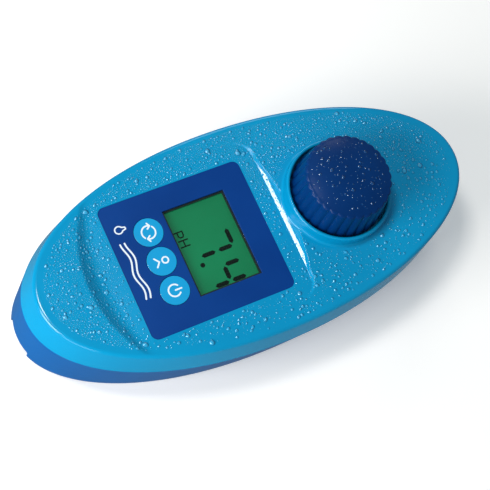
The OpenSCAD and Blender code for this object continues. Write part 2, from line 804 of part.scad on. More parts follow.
// ---------------------------------------------------------------- sample cell and optics
module sample_cell() {
    flange_low = cell_flange_top - cell_flange_thickness;
    color([0.85, 0.93, 0.97, 0.4]) at_cell() difference() {
        union() {
            translate([0, 0, floor_top + 0.02]) cylinder(r = cell_outer, h = cell_mouth - floor_top - 0.02);
            translate([0, 0, flange_low]) cylinder(r = cell_flange_r, h = cell_flange_thickness - slip);
        }
        translate([0, 0, cell_floor_top]) cylinder(r = cell_inner, h = 40);
        // Groove for the seal under the upper shell's ledge
        tube(seal_outer + 0.06, seal_inner - 0.06, cell_flange_top - seal_height, cell_flange_top + over);
    }
}

module cell_seal() {
    color(dark) at_cell() tube(seal_outer, seal_inner, cell_flange_top - seal_height + 0.02,
        cell_flange_top - 0.02);
}

beam_z = floor_top + 12;
optics_half = 7;
optics_low = floor_top + 3.2;
optics_top = beam_z + 4.6;
optics_gap = 0.5;
optics_depth = 6;
led_pitch = 4.4;
led_r = 1.5;
led_length = 3.2;
filter_r = 2;
filter_depth = 1.2;
can_r = 4.1;          // the photodiode's can
can_depth = 3.3;
can_inset = 2.5;
led_face = cell_x - cell_outer - optics_gap;
detector_face = cell_x + cell_outer + optics_gap;

module optics_block(face, side) {
    difference() {
        box([min(face, face + side * optics_depth), -optics_half, optics_low],
            [max(face, face + side * optics_depth), optics_half, optics_top]);
        children();
    }
}

module along_beam(x, y, r, h) {
    translate([x, y, beam_z]) rotate([0, 90, 0]) cylinder(r = r, h = h);
}

module led_holder() {
    color(dark) optics_block(led_face, -1) {
        for (k = [-1:1]) {
            along_beam(led_face - optics_depth - over, k * led_pitch, led_r + slip,
                optics_depth + 2 * over);
            along_beam(led_face - filter_depth, k * led_pitch, filter_r + slip, filter_depth + over);
        }
    }
}

module measuring_leds() {
    color([0.8, 0.95, 0.8]) for (k = [-1:1]) {
        along_beam(led_face - optics_depth, k * led_pitch, led_r, led_length);
        translate([led_face - optics_depth + led_length, k * led_pitch, beam_z])
            sphere(r = led_r - slip);
    }
}

module light_filters() {
    color([0.3, 0.6, 0.5]) for (k = [-1:1])
        along_beam(led_face - filter_depth + slip, k * led_pitch, filter_r, filter_depth - 2 * slip);
}

module led_board() {
    x = led_face - optics_depth;
    color(board_green) box([x - 1.4, -optics_half, optics_low], [x - slip, optics_half, optics_top]);
}

module detector_holder() {
    color(dark) optics_block(detector_face, 1) {
        along_beam(detector_face - over, 0, 2.2, 4);
        along_beam(detector_face + can_inset - 0.1, 0, can_r + slip, 5);
    }
}

module photodiode() {
    color(metal) {
        along_beam(detector_face + can_inset, 0, can_r, can_depth);
        along_beam(detector_face + can_inset - slip, 0, 1.6, 2 * slip);
    }
}

module detector_board() {
    x = detector_face + optics_depth;
    color(board_green) box([x + slip, -optics_half, optics_low], [x + 1.4, optics_half, optics_top]);
}

signal_diameter = 1.3;

module led_cable() {
    start = [led_face - optics_depth - 1.45 - signal_diameter / 2, 6.2, optics_top - 3];
    foot = display_to_case([board_x + board_length - 1, 14, board_low - signal_diameter / 2 - 0.1]);
    route = curve([start, start + [-1, 0, 3], foot + [3, 0, -1], foot], 10);
    color([0.5, 0.5, 0.5]) cable(route, signal_diameter);
}

// Runs from the detector round the sample cell to the main board
module detector_cable() {
    clear = cell_flange_r + 1.4;
    z = optics_top - 3;
    start = [detector_face + optics_depth + 1.45 + signal_diameter / 2, -4, z];
    side_out = [cell_x + 8, -clear - 4, z];
    side_in = [cell_x - 8, -clear - 4, z + 1];
    foot = display_to_case([board_x + board_length - 1, -14, board_low - signal_diameter / 2 - 0.1]);
    first = curve([start, start + [2, -8, 0], side_out + [8, 0, 0], side_out], 8);
    last = curve([side_in, side_in + [-8, 0, 0], foot + [6, -1, -1], foot], 8);
    color([0.5, 0.5, 0.5]) cable(concat(first, last), signal_diameter);
}

// ---------------------------------------------------------------- cap
cap_wall = 1.6;
flute_r = 2.0;
flute_depth = 0.3;

module cap_shell() {
    lean = atan((cap_foot_r - cap_top_r) / (cap_edge_z - cap_foot_z));
    chamfer = 0.4;
    inner_top_r = cap_top_r - cap_wall - 0.4;
    press_z = plug_flange_z + plug_flange_thickness;
    color(navy) at_cell() difference() {
        rotate_extrude() polygon([
            [cap_skirt_inner, cap_foot_z], [cap_foot_r - chamfer, cap_foot_z],
            [cap_foot_r, cap_foot_z + chamfer],
            [cap_top_r, cap_edge_z - 1], [cap_top_r - 0.2, cap_edge_z - 0.5],
            [cap_top_r - 0.75, cap_edge_z - 0.1], [cap_top_r * 0.66, overall_height - 0.6],
            [cap_top_r * 0.33, overall_height - 0.15], [0, overall_height],
            [0, overall_height - cap_wall - 0.6], [inner_top_r, cap_edge_z - cap_wall - 0.8],
            [inner_top_r, press_z], [cap_skirt_inner, press_z],
        ]);
        for (k = [0:flute_count - 1]) rotate([0, 0, 360 * k / flute_count])
            translate([cap_foot_r + flute_r - flute_depth, 0, cap_foot_z - over]) rotate([0, -lean, 0])
                cylinder(r = flute_r, h = overall_height - cap_foot_z + 3, $fn = 32);
    }
}

module cap_plug() {
    chamfer = 0.6;
    groove_half = seal_section + slip;
    flange_r = cap_skirt_inner - 0.01;
    color(dark) at_cell() rotate_extrude() polygon([
        [0, plug_low], [plug_r - chamfer, plug_low], [plug_r, plug_low + chamfer],
        [plug_r, plug_groove_z - groove_half], [plug_groove_r, plug_groove_z - groove_half],
        [plug_groove_r, plug_groove_z + groove_half], [plug_r, plug_groove_z + groove_half],
        [plug_r, plug_flange_z], [flange_r, plug_flange_z],
        [flange_r, plug_flange_z + plug_flange_thickness],
        [0, plug_flange_z + plug_flange_thickness],
    ]);
}

module cap_seal() {
    color([0.15, 0.15, 0.16]) at_cell() translate([0, 0, plug_groove_z]) rotate_extrude()
        translate([cell_inner - slip - seal_section, 0]) circle(r = seal_section - slip / 2, $fn = 32);
}

upper_shell();
lower_shell();
case_seal();
case_screws();
battery_cover();
battery_cover_seal();
battery_cover_screws();
battery_holder();
battery(1);  // battery_left
battery(-1);  // battery_right
battery_springs();
battery_contacts();
battery_lead(1);  // battery_lead_red
battery_lead(-1);  // battery_lead_black
keypad_overlay();
key(1);  // key_mode
key(0);  // key_zero
key(-1);  // key_power
keypad_spacer();
keypad_circuit();
key_domes();
display_window();
lcd_glass();
lcd_backlight();
lcd_frame();
zebra_strips();
main_board();
board_screws();
microcontroller();
board_components();
beeper();
sample_cell();
cell_seal();
led_holder();
measuring_leds();
light_filters();
led_board();
detector_holder();
photodiode();
detector_board();
led_cable();
detector_cable();
cap_shell();
cap_plug();
cap_seal();
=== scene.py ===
import math

import bmesh
import bpy
import numpy as np
from mathutils import Matrix, Vector
from mathutils.geometry import delaunay_2d_cdt


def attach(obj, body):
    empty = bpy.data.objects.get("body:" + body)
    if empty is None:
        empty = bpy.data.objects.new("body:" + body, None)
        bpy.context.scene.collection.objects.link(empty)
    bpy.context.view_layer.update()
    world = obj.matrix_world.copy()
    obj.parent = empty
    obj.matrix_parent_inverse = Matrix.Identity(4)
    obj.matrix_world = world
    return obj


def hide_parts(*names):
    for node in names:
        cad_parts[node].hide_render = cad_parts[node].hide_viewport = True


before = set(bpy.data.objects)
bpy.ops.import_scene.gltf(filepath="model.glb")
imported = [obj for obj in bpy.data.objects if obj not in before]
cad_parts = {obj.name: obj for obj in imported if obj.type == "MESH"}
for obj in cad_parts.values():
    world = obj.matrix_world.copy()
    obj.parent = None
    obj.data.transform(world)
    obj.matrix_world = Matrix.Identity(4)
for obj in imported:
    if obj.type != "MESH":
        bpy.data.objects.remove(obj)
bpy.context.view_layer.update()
MM = 0.001

# ------------------------------------------------------------------ sizes, in millimetres
# Casing: outlines as (start, end, half width), then the shape of its top
LENGTH, WIDTH, RIM, SEAM = 145.0, 68.0, 29.0, 17.0
SIDE_WALL, TILT = 2.4, math.radians(2.9)
BASE_OVAL = (-LENGTH / 2 - 0.2, LENGTH / 2 - 2, WIDTH / 2 - 2.5)
SEAM_OVAL = (-LENGTH / 2 + 1.5, LENGTH / 2, WIDTH / 2)
RIM_OVAL = (-LENGTH / 2 + 4, LENGTH / 2 - 0.5, WIDTH / 2 - 0.8)
SQUARE, EGG, BOW, CROWN, RIM_ROUND = 2.06, 0.02, 1.0, 1.6, 1.4
# Panel, and the recess cut round it in the crowned top
PANEL_X, PANEL_Z = -41.2, RIM - 2.26
PANEL_L, PANEL_W, PANEL_R = 46.6, 43.2, 2.2
RECESS_START, RECESS_L, RECESS_W, RECESS_R = -0.3, PANEL_L + 5.2, PANEL_W + 9.8, 6.0
SIDE_FOOT, SIDE_SLOPE = PANEL_W / 2 + 1.1, math.tan(math.radians(9))
WALL_SLOPE, STEEP = 2.2, 8  # the recess's end wall, and a slope that stands for an upright face
SOFT_EDGE = 0.5
# Curved facet between the panel and the collar, with a narrow step along the panel's side
LENS_W, LENS_REACH, LENS_SLOPE = 37.6, 2.6, math.tan(math.radians(37))
STEP_WIDTH, STEP_SLOPE = 1.35, math.tan(math.radians(18))
LENS_RADIUS = ((LENS_W / 2) ** 2 + LENS_REACH**2) / (2 * LENS_REACH)
# Scoop in front of the panel
SCOOP_R, SCOOP_REACH, SCOOP_RISE, SCOOP_FALL = 47.5, 11.3, 1.3, 0.1
SCOOP_DEPTH, SCOOP_WALL = 1.1, 9
# Display and keys, in the display frame: u along the panel, v across it, w out of it
WINDOW_X, WINDOW_L, WINDOW_W = PANEL_L - 28.3, 20.3, 28.4
KEY_X, KEY_PITCH, KEY_D, KEY_GAP = WINDOW_X - 6.3, 9.64, 8.9, 0.12
OVERLAY_TOP, OVERLAY_LOW, POCKET_LOW, LCD_TOP = -0.1, -0.7, -1.6, -1.45
POCKET_GAP = 0.05
# Collar and cap
CELL_X, CELL_OUT = 29.0, 12.7
COLLAR_TOP, COLLAR_FLOOR, COLLAR_IN, COLLAR_OUT = RIM + 6.8, RIM + 3.6, 15.5, 16.6
COLLAR_FILLET, COLLAR_CREST = 0.8, 0.62
CAP_FOOT_Z, CAP_EDGE_Z, CAP_TOP_Z, CAP_FOOT_R, CAP_TOP_R = 33.0, 45.6, 47.0, 15.0, 13.4
CAP_ROUND, CAP_ROUND_RISE, CAP_DOME = 1.0, 0.85, 2.4
FLUTES, FLUTE_DEPTH = 30, 0.3
# Underside
BASE_ROUND, FLOOR_LOW, FLOOR_TOP = 0.6, 1.2, 3.2
NOTCH_HALF, NOTCH_TOP, NOTCH_ROUND, NOTCH_DEEP = 6.0, 2.9, 0.9, 2.6
SCREW_WAY_R, SCREW_WAY_TOP = 2.6, 11
SCREW_PLACES = ((-46, 20.5), (-46, -20.5), (9, 25.5), (9, -25.5), (60, 0))
COVER_X, COVER_L, COVER_W, COVER_R, COVER_WAY_TOP = -58.55, 65.6, 28.5, 4.15, 8

OUTLINE_STEPS = 384
SIN, COS = math.sin(TILT), math.cos(TILT)
rng = np.random.default_rng(7)


# ------------------------------------------------------------------ mesh helpers
def new_object(name, verts, faces, material, body="casing", smooth=True):
    mesh = bpy.data.meshes.new(name)
    mesh.from_pydata([tuple(v) for v in verts], [], [tuple(f) for f in faces])
    mesh.update()
    mesh.polygons.foreach_set("use_smooth", [smooth] * len(mesh.polygons))
    mesh.materials.append(material)
    obj = bpy.data.objects.new(name, mesh)
    bpy.context.scene.collection.objects.link(obj)
    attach(obj, body)
    return obj


def loft(rings, close_first=False, close_last=False):
    """Vertices and faces through rings of equal length."""
    n = len(rings[0])
    verts = [p for ring in rings for p in ring]
    faces = []
    for k in range(len(rings) - 1):
        for i in range(n):
            j = (i + 1) % n
            faces.append((k * n + i, k * n + j, (k + 1) * n + j, (k + 1) * n + i))
    if close_first:
        faces.append(tuple(range(n - 1, -1, -1)))
    if close_last:
        faces.append(tuple((len(rings) - 1) * n + i for i in range(n)))
    return verts, faces


def in_display(u, v, w):
    return (PANEL_X + u * COS - w * SIN, v, PANEL_Z + u * SIN + w * COS)


def scaled(points):
    return [(p[0] * MM, p[1] * MM, p[2] * MM) for p in points]


def disc_outline(x, y, r, n=72):
    turns = np.linspace(0, 2 * math.pi, n, endpoint=False)
    return [(x + r * math.cos(a), y + r * math.sin(a)) for a in turns]


def cut(obj, tools):
    """Takes the tools out of obj for good and removes them."""
    for tool in tools:
        mod = obj.modifiers.new("cut", "BOOLEAN")
        mod.operation, mod.object, mod.solver = "DIFFERENCE", tool, "EXACT"
    graph = bpy.context.evaluated_depsgraph_get()
    mesh = bpy.data.meshes.new_from_object(obj.evaluated_get(graph))
    obj.modifiers.clear()
    old, obj.data = obj.data, mesh
    bpy.data.meshes.remove(old)
    for tool in tools:
        bpy.data.objects.remove(tool)


# ------------------------------------------------------------------ shape of the casing
def oval(o, inset):
    """Points of a casing outline, moved inwards by inset."""
    t = np.linspace(0, 2 * math.pi, OUTLINE_STEPS, endpoint=False)
    c, s = np.cos(t), np.sin(t)
    half = (o[1] - o[0]) / 2
    x = (half - inset) * np.sign(c) * np.abs(c) ** (2 / SQUARE)
    y = (o[2] - inset) * np.sign(s) * np.abs(s) ** (2 / SQUARE) * (1 - EGG * x / half)
    return (o[0] + o[1]) / 2 + x, y


def rim_z(x):
    return RIM + math.tan(TILT) * x + BOW * (2 * x / LENGTH) ** 2


def share_at(x, y, inset=RIM_ROUND):
    """0 in the middle of the top, 1 where its rounded edge begins."""
    mid, half = (RIM_OVAL[0] + RIM_OVAL[1]) / 2, (RIM_OVAL[1] - RIM_OVAL[0]) / 2
    a, b = half - inset, RIM_OVAL[2] - inset
    s = (np.abs((x - mid) / a) ** SQUARE + np.abs(y / b) ** SQUARE) ** (1 / SQUARE)
    for _ in range(3):
        lean = 1 - EGG * (x - mid) / np.maximum(s, 0.02) / half
        s = (np.abs((x - mid) / a) ** SQUARE + np.abs(y / (b * lean)) ** SQUARE) ** (1 / SQUARE)
    return s


def crowned(x, y):
    return rim_z(x) + CROWN * (1 - share_at(x, y) ** 2)


def soft_min(a, b, k):
    h = np.maximum(k - np.abs(a - b), 0) / k
    return np.minimum(a, b) - h * h * k / 4


def soft_max(a, b, k):
    return -soft_min(-a, -b, k)


def rounded_distance(u, v, u0, u1, width, r):
    """Distance from a rounded rectangle, negative inside it."""
    du = np.abs(u - (u0 + u1) / 2) - (u1 - u0) / 2 + r
    dv = np.abs(v) - width / 2 + r
    return np.hypot(np.maximum(du, 0), np.maximum(dv, 0)) + np.minimum(np.maximum(du, dv), 0) - r


def recess_w(u, v):
    """Height of the recess's surface above the panel's plane, in the display frame."""
    end = rounded_distance(np.maximum(u, PANEL_L / 2), v, RECESS_START, RECESS_L, RECESS_W, RECESS_R)
    floor = np.maximum(end, 0) * WALL_SLOPE + np.maximum(-u, 0) * STEEP
    # the curved facet, with its step, and the walls at its far edge and its two ends
    past = u - RECESS_L
    step = np.maximum(past, 0) * STEP_SLOPE
    facet = (past - STEP_WIDTH) * LENS_SLOPE + STEP_WIDTH * STEP_SLOPE
    reach = np.hypot(u - (RECESS_L + LENS_REACH - LENS_RADIUS), v) - LENS_RADIUS
    walls = np.maximum(reach, 0) * 3 + np.maximum(np.abs(v) - LENS_W / 2, 0) * 1.2
    lens = np.where(u < RECESS_L - 1, 50, soft_max(step, facet, 0.12) + walls)
    # the scoop, a bowl that runs out into a sloping floor
    inward = SCOOP_R - np.hypot(u - (SCOOP_R - SCOOP_REACH), v)
    bowl = (SCOOP_RISE + SCOOP_DEPTH) * np.maximum(1 - inward / SCOOP_WALL, 0) ** 3 - SCOOP_DEPTH
    scoop = soft_max(SCOOP_FALL * u, bowl, SOFT_EDGE) + np.maximum(u, 0) * STEEP
    side = (np.abs(v) - SIDE_FOOT) * SIDE_SLOPE
    return soft_max(np.minimum(np.minimum(floor, lens), scoop), side, SOFT_EDGE)


def top_z(x, y):
    """Height of the upper shell's outer surface, recess and all."""
    u = (x - PANEL_X) / COS
    w = recess_w(u, y)
    for _ in range(2):
        w = recess_w((x - PANEL_X + np.clip(w, -2, 6) * SIN) / COS, y)
    u = (x - PANEL_X + np.clip(w, -2, 6) * SIN) / COS
    cut_z = PANEL_Z + u * SIN + np.minimum(w, 30) * COS
    return soft_min(crowned(x, y), cut_z, SOFT_EDGE)


def top_normal(x, y, step=0.04):
    gx = (top_z(x + step, y) - top_z(x - step, y)) / (2 * step)
    gy = (top_z(x, y + step) - top_z(x, y - step)) / (2 * step)
    n = np.stack([-gx, -gy, np.ones_like(gx)], -1)
    return n / np.linalg.norm(n, axis=-1, keepdims=True)


# ------------------------------------------------------------------ materials
def material(name, colour, roughness=0.3, metallic=0.0, coat=0.0, transmission=0.0, ior=1.47, alpha=1.0,
             gloss=0.4):
    mat = bpy.data.materials.new(name)
    mat.use_nodes = True
    shader = mat.node_tree.nodes["Principled BSDF"]
    shader.inputs["Base Color"].default_value = (*colour, 1)
    shader.inputs["Roughness"].default_value = roughness
    shader.inputs["Metallic"].default_value = metallic
    shader.inputs["Coat Weight"].default_value = coat
    shader.inputs["Coat Roughness"].default_value = 0.08
    shader.inputs["Transmission Weight"].default_value = transmission
    shader.inputs["IOR"].default_value = ior
    shader.inputs["Specular IOR Level"].default_value = gloss
    shader.inputs["Alpha"].default_value = alpha
    return mat


def textured(mat, low, high, scale, bump=0.0, bump_scale=900.0, rough=None):
    """Varies the base colour between two colours and adds a fine relief."""
    tree = mat.node_tree
    shader = tree.nodes["Principled BSDF"]
    where = tree.nodes.new("ShaderNodeTexCoord")
    noise = tree.nodes.new("ShaderNodeTexNoise")
    noise.inputs["Scale"].default_value = scale
    noise.inputs["Detail"].default_value = 3
    tree.links.new(where.outputs["Object"], noise.inputs["Vector"])
    ramp = tree.nodes.new("ShaderNodeValToRGB")
    ramp.color_ramp.elements[0].position = 0.3
    ramp.color_ramp.elements[1].position = 0.7
    ramp.color_ramp.elements[0].color = (*low, 1)
    ramp.color_ramp.elements[1].color = (*high, 1)
    tree.links.new(noise.outputs["Fac"], ramp.inputs["Fac"])
    tree.links.new(ramp.outputs["Color"], shader.inputs["Base Color"])
    if rough:
        span = tree.nodes.new("ShaderNodeMapRange")
        span.inputs["To Min"].default_value, span.inputs["To Max"].default_value = rough
        tree.links.new(noise.outputs["Fac"], span.inputs["Value"])
        tree.links.new(span.outputs["Result"], shader.inputs["Roughness"])
    if bump:
        grain = tree.nodes.new("ShaderNodeTexNoise")
        grain.inputs["Scale"].default_value = bump_scale
        tree.links.new(where.outputs["Object"], grain.inputs["Vector"])
        relief = tree.nodes.new("ShaderNodeBump")
        relief.inputs["Strength"].default_value = bump
        relief.inputs["Distance"].default_value = 0.0001
        tree.links.new(grain.outputs["Fac"], relief.inputs["Height"])
        tree.links.new(relief.outputs["Normal"], shader.inputs["Normal"])
    return mat


cyan = textured(
    material("cyan_shell", (0.0, 0.28, 0.52), 0.26, coat=0.05, gloss=0.42),
    (0.0, 0.255, 0.48), (0.0, 0.30, 0.555), 22, bump=0.08, bump_scale=2600, rough=(0.08, 0.17),
)
blue = textured(
    material("blue_shell", (0.0, 0.10, 0.33), 0.3, coat=0.0, gloss=0.25),
    (0.0, 0.09, 0.31), (0.0, 0.115, 0.37), 22, bump=0.1, bump_scale=2600, rough=(0.26, 0.38),
)
navy = textured(
    material("navy_overlay", (0.0, 0.04, 0.22), 0.4, gloss=0.15),
    (0.0, 0.037, 0.20), (0.0, 0.047, 0.24), 40, bump=0.25, bump_scale=5200, rough=(0.34, 0.44),
)
key_cyan = textured(
    material("cyan_key", (0.0, 0.32, 0.62), 0.32, coat=0.2),
    (0.0, 0.30, 0.58), (0.0, 0.34, 0.66), 60, bump=0.1, bump_scale=3000,
)
cap_navy = textured(
    material("navy_cap", (0.0, 0.026, 0.13), 0.3, coat=0.0, gloss=0.2),
    (0.0, 0.023, 0.115), (0.0, 0.032, 0.15), 60, bump=0.2, bump_scale=2600, rough=(0.24, 0.34),
)
white_ink = textured(
    material("white_ink", (0.8, 0.86, 0.9), 0.45), (0.78, 0.84, 0.88), (0.84, 0.9, 0.93), 200
)
black_ink = textured(
    material("lcd_segment", (0.002, 0.006, 0.004), 0.5, gloss=0.1),
    (0.001, 0.004, 0.003), (0.003, 0.009, 0.006), 150,
)
lcd_green = textured(
    material("lcd_green", (0.0, 0.22, 0.075), 0.4), (0.0, 0.20, 0.068), (0.0, 0.25, 0.088), 55
)
glow = lcd_green.node_tree.nodes["Principled BSDF"]
glow.inputs["Emission Color"].default_value = (0.0, 0.3, 0.11, 1)
glow.inputs["Emission Strength"].default_value = 0.08
backlight = textured(
    material("backlight_green", (0.3, 0.7, 0.4), 0.5), (0.28, 0.66, 0.38), (0.34, 0.74, 0.44), 80
)
window_clear = textured(
    material("clear_window", (0.02, 0.04, 0.03), 0.06, alpha=0.08, gloss=0.25),
    (0.018, 0.035, 0.028), (0.025, 0.045, 0.035), 40,
)
cell_clear = textured(
    material("clear_cell", (0.9, 0.96, 1.0), 0.08, transmission=0.9, ior=1.49),
    (0.87, 0.94, 0.98), (0.92, 0.97, 1.0), 40,
)
black = textured(
    material("black_plastic", (0.015, 0.015, 0.017), 0.45), (0.012, 0.012, 0.014), (0.02, 0.02, 0.022), 60,
    bump=0.3, bump_scale=2400,
)
rubber = textured(
    material("black_rubber", (0.02, 0.02, 0.02), 0.7), (0.016, 0.016, 0.017), (0.028, 0.028, 0.028), 80,
    bump=0.4, bump_scale=3000,
)
pink = textured(material("pink_rubber", (0.75, 0.4, 0.42), 0.6), (0.7, 0.36, 0.38), (0.8, 0.45, 0.47), 80)
steel = textured(
    material("steel", (0.62, 0.62, 0.6), 0.3, metallic=1.0), (0.56, 0.56, 0.55), (0.66, 0.66, 0.64), 120,
    bump=0.2, bump_scale=4000, rough=(0.24, 0.4),
)
nickel = textured(
    material("nickel_plate", (0.7, 0.66, 0.58), 0.25, metallic=1.0), (0.64, 0.6, 0.54), (0.74, 0.7, 0.62), 90,
    rough=(0.2, 0.36),
)
sleeve = textured(
    material("battery_sleeve", (0.75, 0.5, 0.08), 0.3, metallic=0.4), (0.7, 0.46, 0.07), (0.8, 0.55, 0.1), 40,
    rough=(0.24, 0.36),
)
red = textured(material("red_wire", (0.6, 0.02, 0.02), 0.45), (0.5, 0.015, 0.015), (0.65, 0.03, 0.03), 100)
black_wire = textured(material("black_wire", (0.02, 0.02, 0.02), 0.5), (0.015,) * 3, (0.03,) * 3, 100)
grey_wire = textured(material("grey_wire", (0.3, 0.3, 0.3), 0.5), (0.26,) * 3, (0.34,) * 3, 100)
film = textured(
    material("spacer_film", (0.02, 0.05, 0.06), 0.5), (0.004, 0.012, 0.012), (0.008, 0.02, 0.02), 60
)
flex = textured(material("flex_circuit", (0.6, 0.3, 0.06), 0.4), (0.54, 0.26, 0.05), (0.65, 0.34, 0.08), 60)
board = textured(
    material("circuit_board", (0.01, 0.12, 0.04), 0.4, coat=0.4),
    (0.008, 0.10, 0.033), (0.014, 0.15, 0.05), 150,
)
chip = textured(material("chip_black", (0.02, 0.02, 0.02), 0.5), (0.015,) * 3, (0.03,) * 3, 200)
chip_brown = textured(
    material("chip_brown", (0.3, 0.2, 0.12), 0.5), (0.24, 0.16, 0.1), (0.36, 0.24, 0.15), 200
)
led_clear = textured(
    material("led_clear", (0.75, 0.95, 0.8), 0.1, transmission=0.7), (0.7, 0.92, 0.76), (0.8, 0.97, 0.84), 90
)
filter_glass = textured(
    material("filter_glass", (0.1, 0.4, 0.3), 0.1, transmission=0.4),
    (0.08, 0.36, 0.27), (0.12, 0.44, 0.33), 90,
)


def wet(name, middle, rim_shade, alpha):
    """Water on a coloured surface, which shows through a little: the middle colour is that surface painted
    lighter, as painted light, and the colour towards the rim is painted shade where the drop turns away.
    """
    mat = material(name, middle, 0.04, ior=1.6, alpha=alpha, gloss=0.9)
    tree = mat.node_tree
    facing = tree.nodes.new("ShaderNodeLayerWeight")
    facing.inputs["Blend"].default_value = 0.35
    ramp = tree.nodes.new("ShaderNodeValToRGB")
    ramp.color_ramp.elements[0].position, ramp.color_ramp.elements[1].position = 0.05, 0.5
    # painted light in the middle of each drop, painted shade at its rim, set by how far the drop turns away
    ramp.color_ramp.elements[0].color, ramp.color_ramp.elements[1].color = (*middle, 1), (*rim_shade, 1)
    tree.links.new(facing.outputs["Facing"], ramp.inputs["Fac"])
    tree.links.new(ramp.outputs["Color"], tree.nodes["Principled BSDF"].inputs["Base Color"])
    return mat


# middle colours are painted light, lighter than the cyan shell and the navy cap; rim colours are painted
# shade
water = wet("water_on_cyan", (0.03, 0.43, 0.72), (0.0, 0.10, 0.27), 0.85)
water_dark = wet("water_on_navy", (0.005, 0.07, 0.24), (0.0, 0.012, 0.07), 0.8)

NODE_MATERIALS = {
    "case_seal": rubber, "case_screws": steel, "battery_cover": blue, "battery_cover_seal": rubber,
    "battery_cover_screws": steel, "battery_holder": black, "battery_left": sleeve,
    "battery_right": sleeve, "battery_springs": nickel, "battery_contacts": nickel,
    "battery_lead_red": red, "battery_lead_black": black_wire, "keypad_spacer": film,
    "keypad_circuit": flex, "key_domes": steel, "display_window": window_clear,
    "lcd_glass": lcd_green, "lcd_backlight": backlight, "lcd_frame": black, "zebra_strips": pink,
    "main_board": board, "board_screws": steel, "microcontroller": chip,
    "board_components": chip_brown, "beeper": black, "sample_cell": cell_clear,
    "cell_seal": rubber, "led_holder": black, "measuring_leds": led_clear,
    "light_filters": filter_glass, "led_board": board, "detector_holder": black,
    "photodiode": steel, "detector_board": board, "led_cable": grey_wire,
    "detector_cable": grey_wire, "cap_plug": black, "cap_seal": rubber,
}
for name, mat in NODE_MATERIALS.items():
    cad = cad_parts[name]
    cad.data.materials.clear()
    cad.data.materials.append(mat)


# ------------------------------------------------------------------ upper shell
def resampled(points, spacing):
    """Points at an even spacing along a closed outline."""
    p = np.array(points, float)
    q = np.vstack([p, p[:1]])
    run = np.concatenate([[0], np.cumsum(np.hypot(*np.diff(q, axis=0).T))])
    n = max(int(run[-1] / spacing), 8)
    at = np.linspace(0, run[-1], n, endpoint=False)
    return np.stack([np.interp(at, run, q[:, 0]), np.interp(at, run, q[:, 1])], -1)


def rounded_rectangle(length, width, r, grow=0.0, corner=10):
    """Outline of a rounded rectangle that begins at x = 0, counter-clockwise, grown on every side."""
    out = []
    r = r + grow
    for cx, cy, start in (
        (length + grow - r, width / 2 + grow - r, 0),
        (-grow + r, width / 2 + grow - r, 90),
        (-grow + r, -width / 2 - grow + r, 180),
        (length + grow - r, -width / 2 - grow + r, 270),
    ):
        for i in range(corner + 1):
            a = math.radians(start + 90 * i / corner)
            out.append((cx + r * math.cos(a), cy + r * math.sin(a)))
    return out


def display_plan(points):
    """An outline on the panel's plane, seen in the casing's plan."""
    return [(PANEL_X + u * COS, v) for u, v in points]


def top_points(foot_r):
    """Places for the vertices of the top: close together where it bends, far apart where it is smooth."""
    pitch = 0.42
    grid = []
    for x in np.arange(RIM_OVAL[0], RIM_OVAL[1], pitch):
        for y in np.arange(-RIM_OVAL[2], RIM_OVAL[2] + pitch, pitch):
            grid.append((x, y))
    n_even = len(grid)
    # a closer grid over the curved facet
    for x in np.arange(PANEL_X + RECESS_L - 0.6, PANEL_X + RECESS_L + 5.2, 0.17):
        for y in np.arange(-LENS_W / 2 - 2, LENS_W / 2 + 2, 0.31):
            grid.append((x, y + 0.05))
    grid = np.array(grid)
    bend = np.zeros(len(grid))
    for dx, dy in ((0.5, 0), (-0.5, 0), (0, 0.5), (0, -0.5)):
        bend = np.maximum(
            bend,
            1 - (top_normal(grid[:, 0], grid[:, 1]) * top_normal(grid[:, 0] + dx, grid[:, 1] + dy)).sum(-1),
        )
    index = np.round((grid - grid[0]) / pitch).astype(int)
    coarse = (index[:, 0] % 3 == 0) & (index[:, 1] % 3 == 0)
    lens_zone = (
        (np.abs(grid[:, 0] - PANEL_X - RECESS_L - 2.3) < 3.1) & (np.abs(grid[:, 1]) < LENS_W / 2 + 2.1)
    )
    keep = ((bend > 2e-4) | coarse) & ~lens_zone
    keep[n_even:] = True
    inside = share_at(grid[:, 0], grid[:, 1]) < 0.985
    u = (grid[:, 0] - PANEL_X) / COS
    off_panel = rounded_distance(u, grid[:, 1], 0, PANEL_L, PANEL_W, PANEL_R) > 0.25
    off_ring = np.hypot(grid[:, 0] - CELL_X, grid[:, 1]) > foot_r + 0.3
    return grid[keep & inside & off_panel & off_ring]


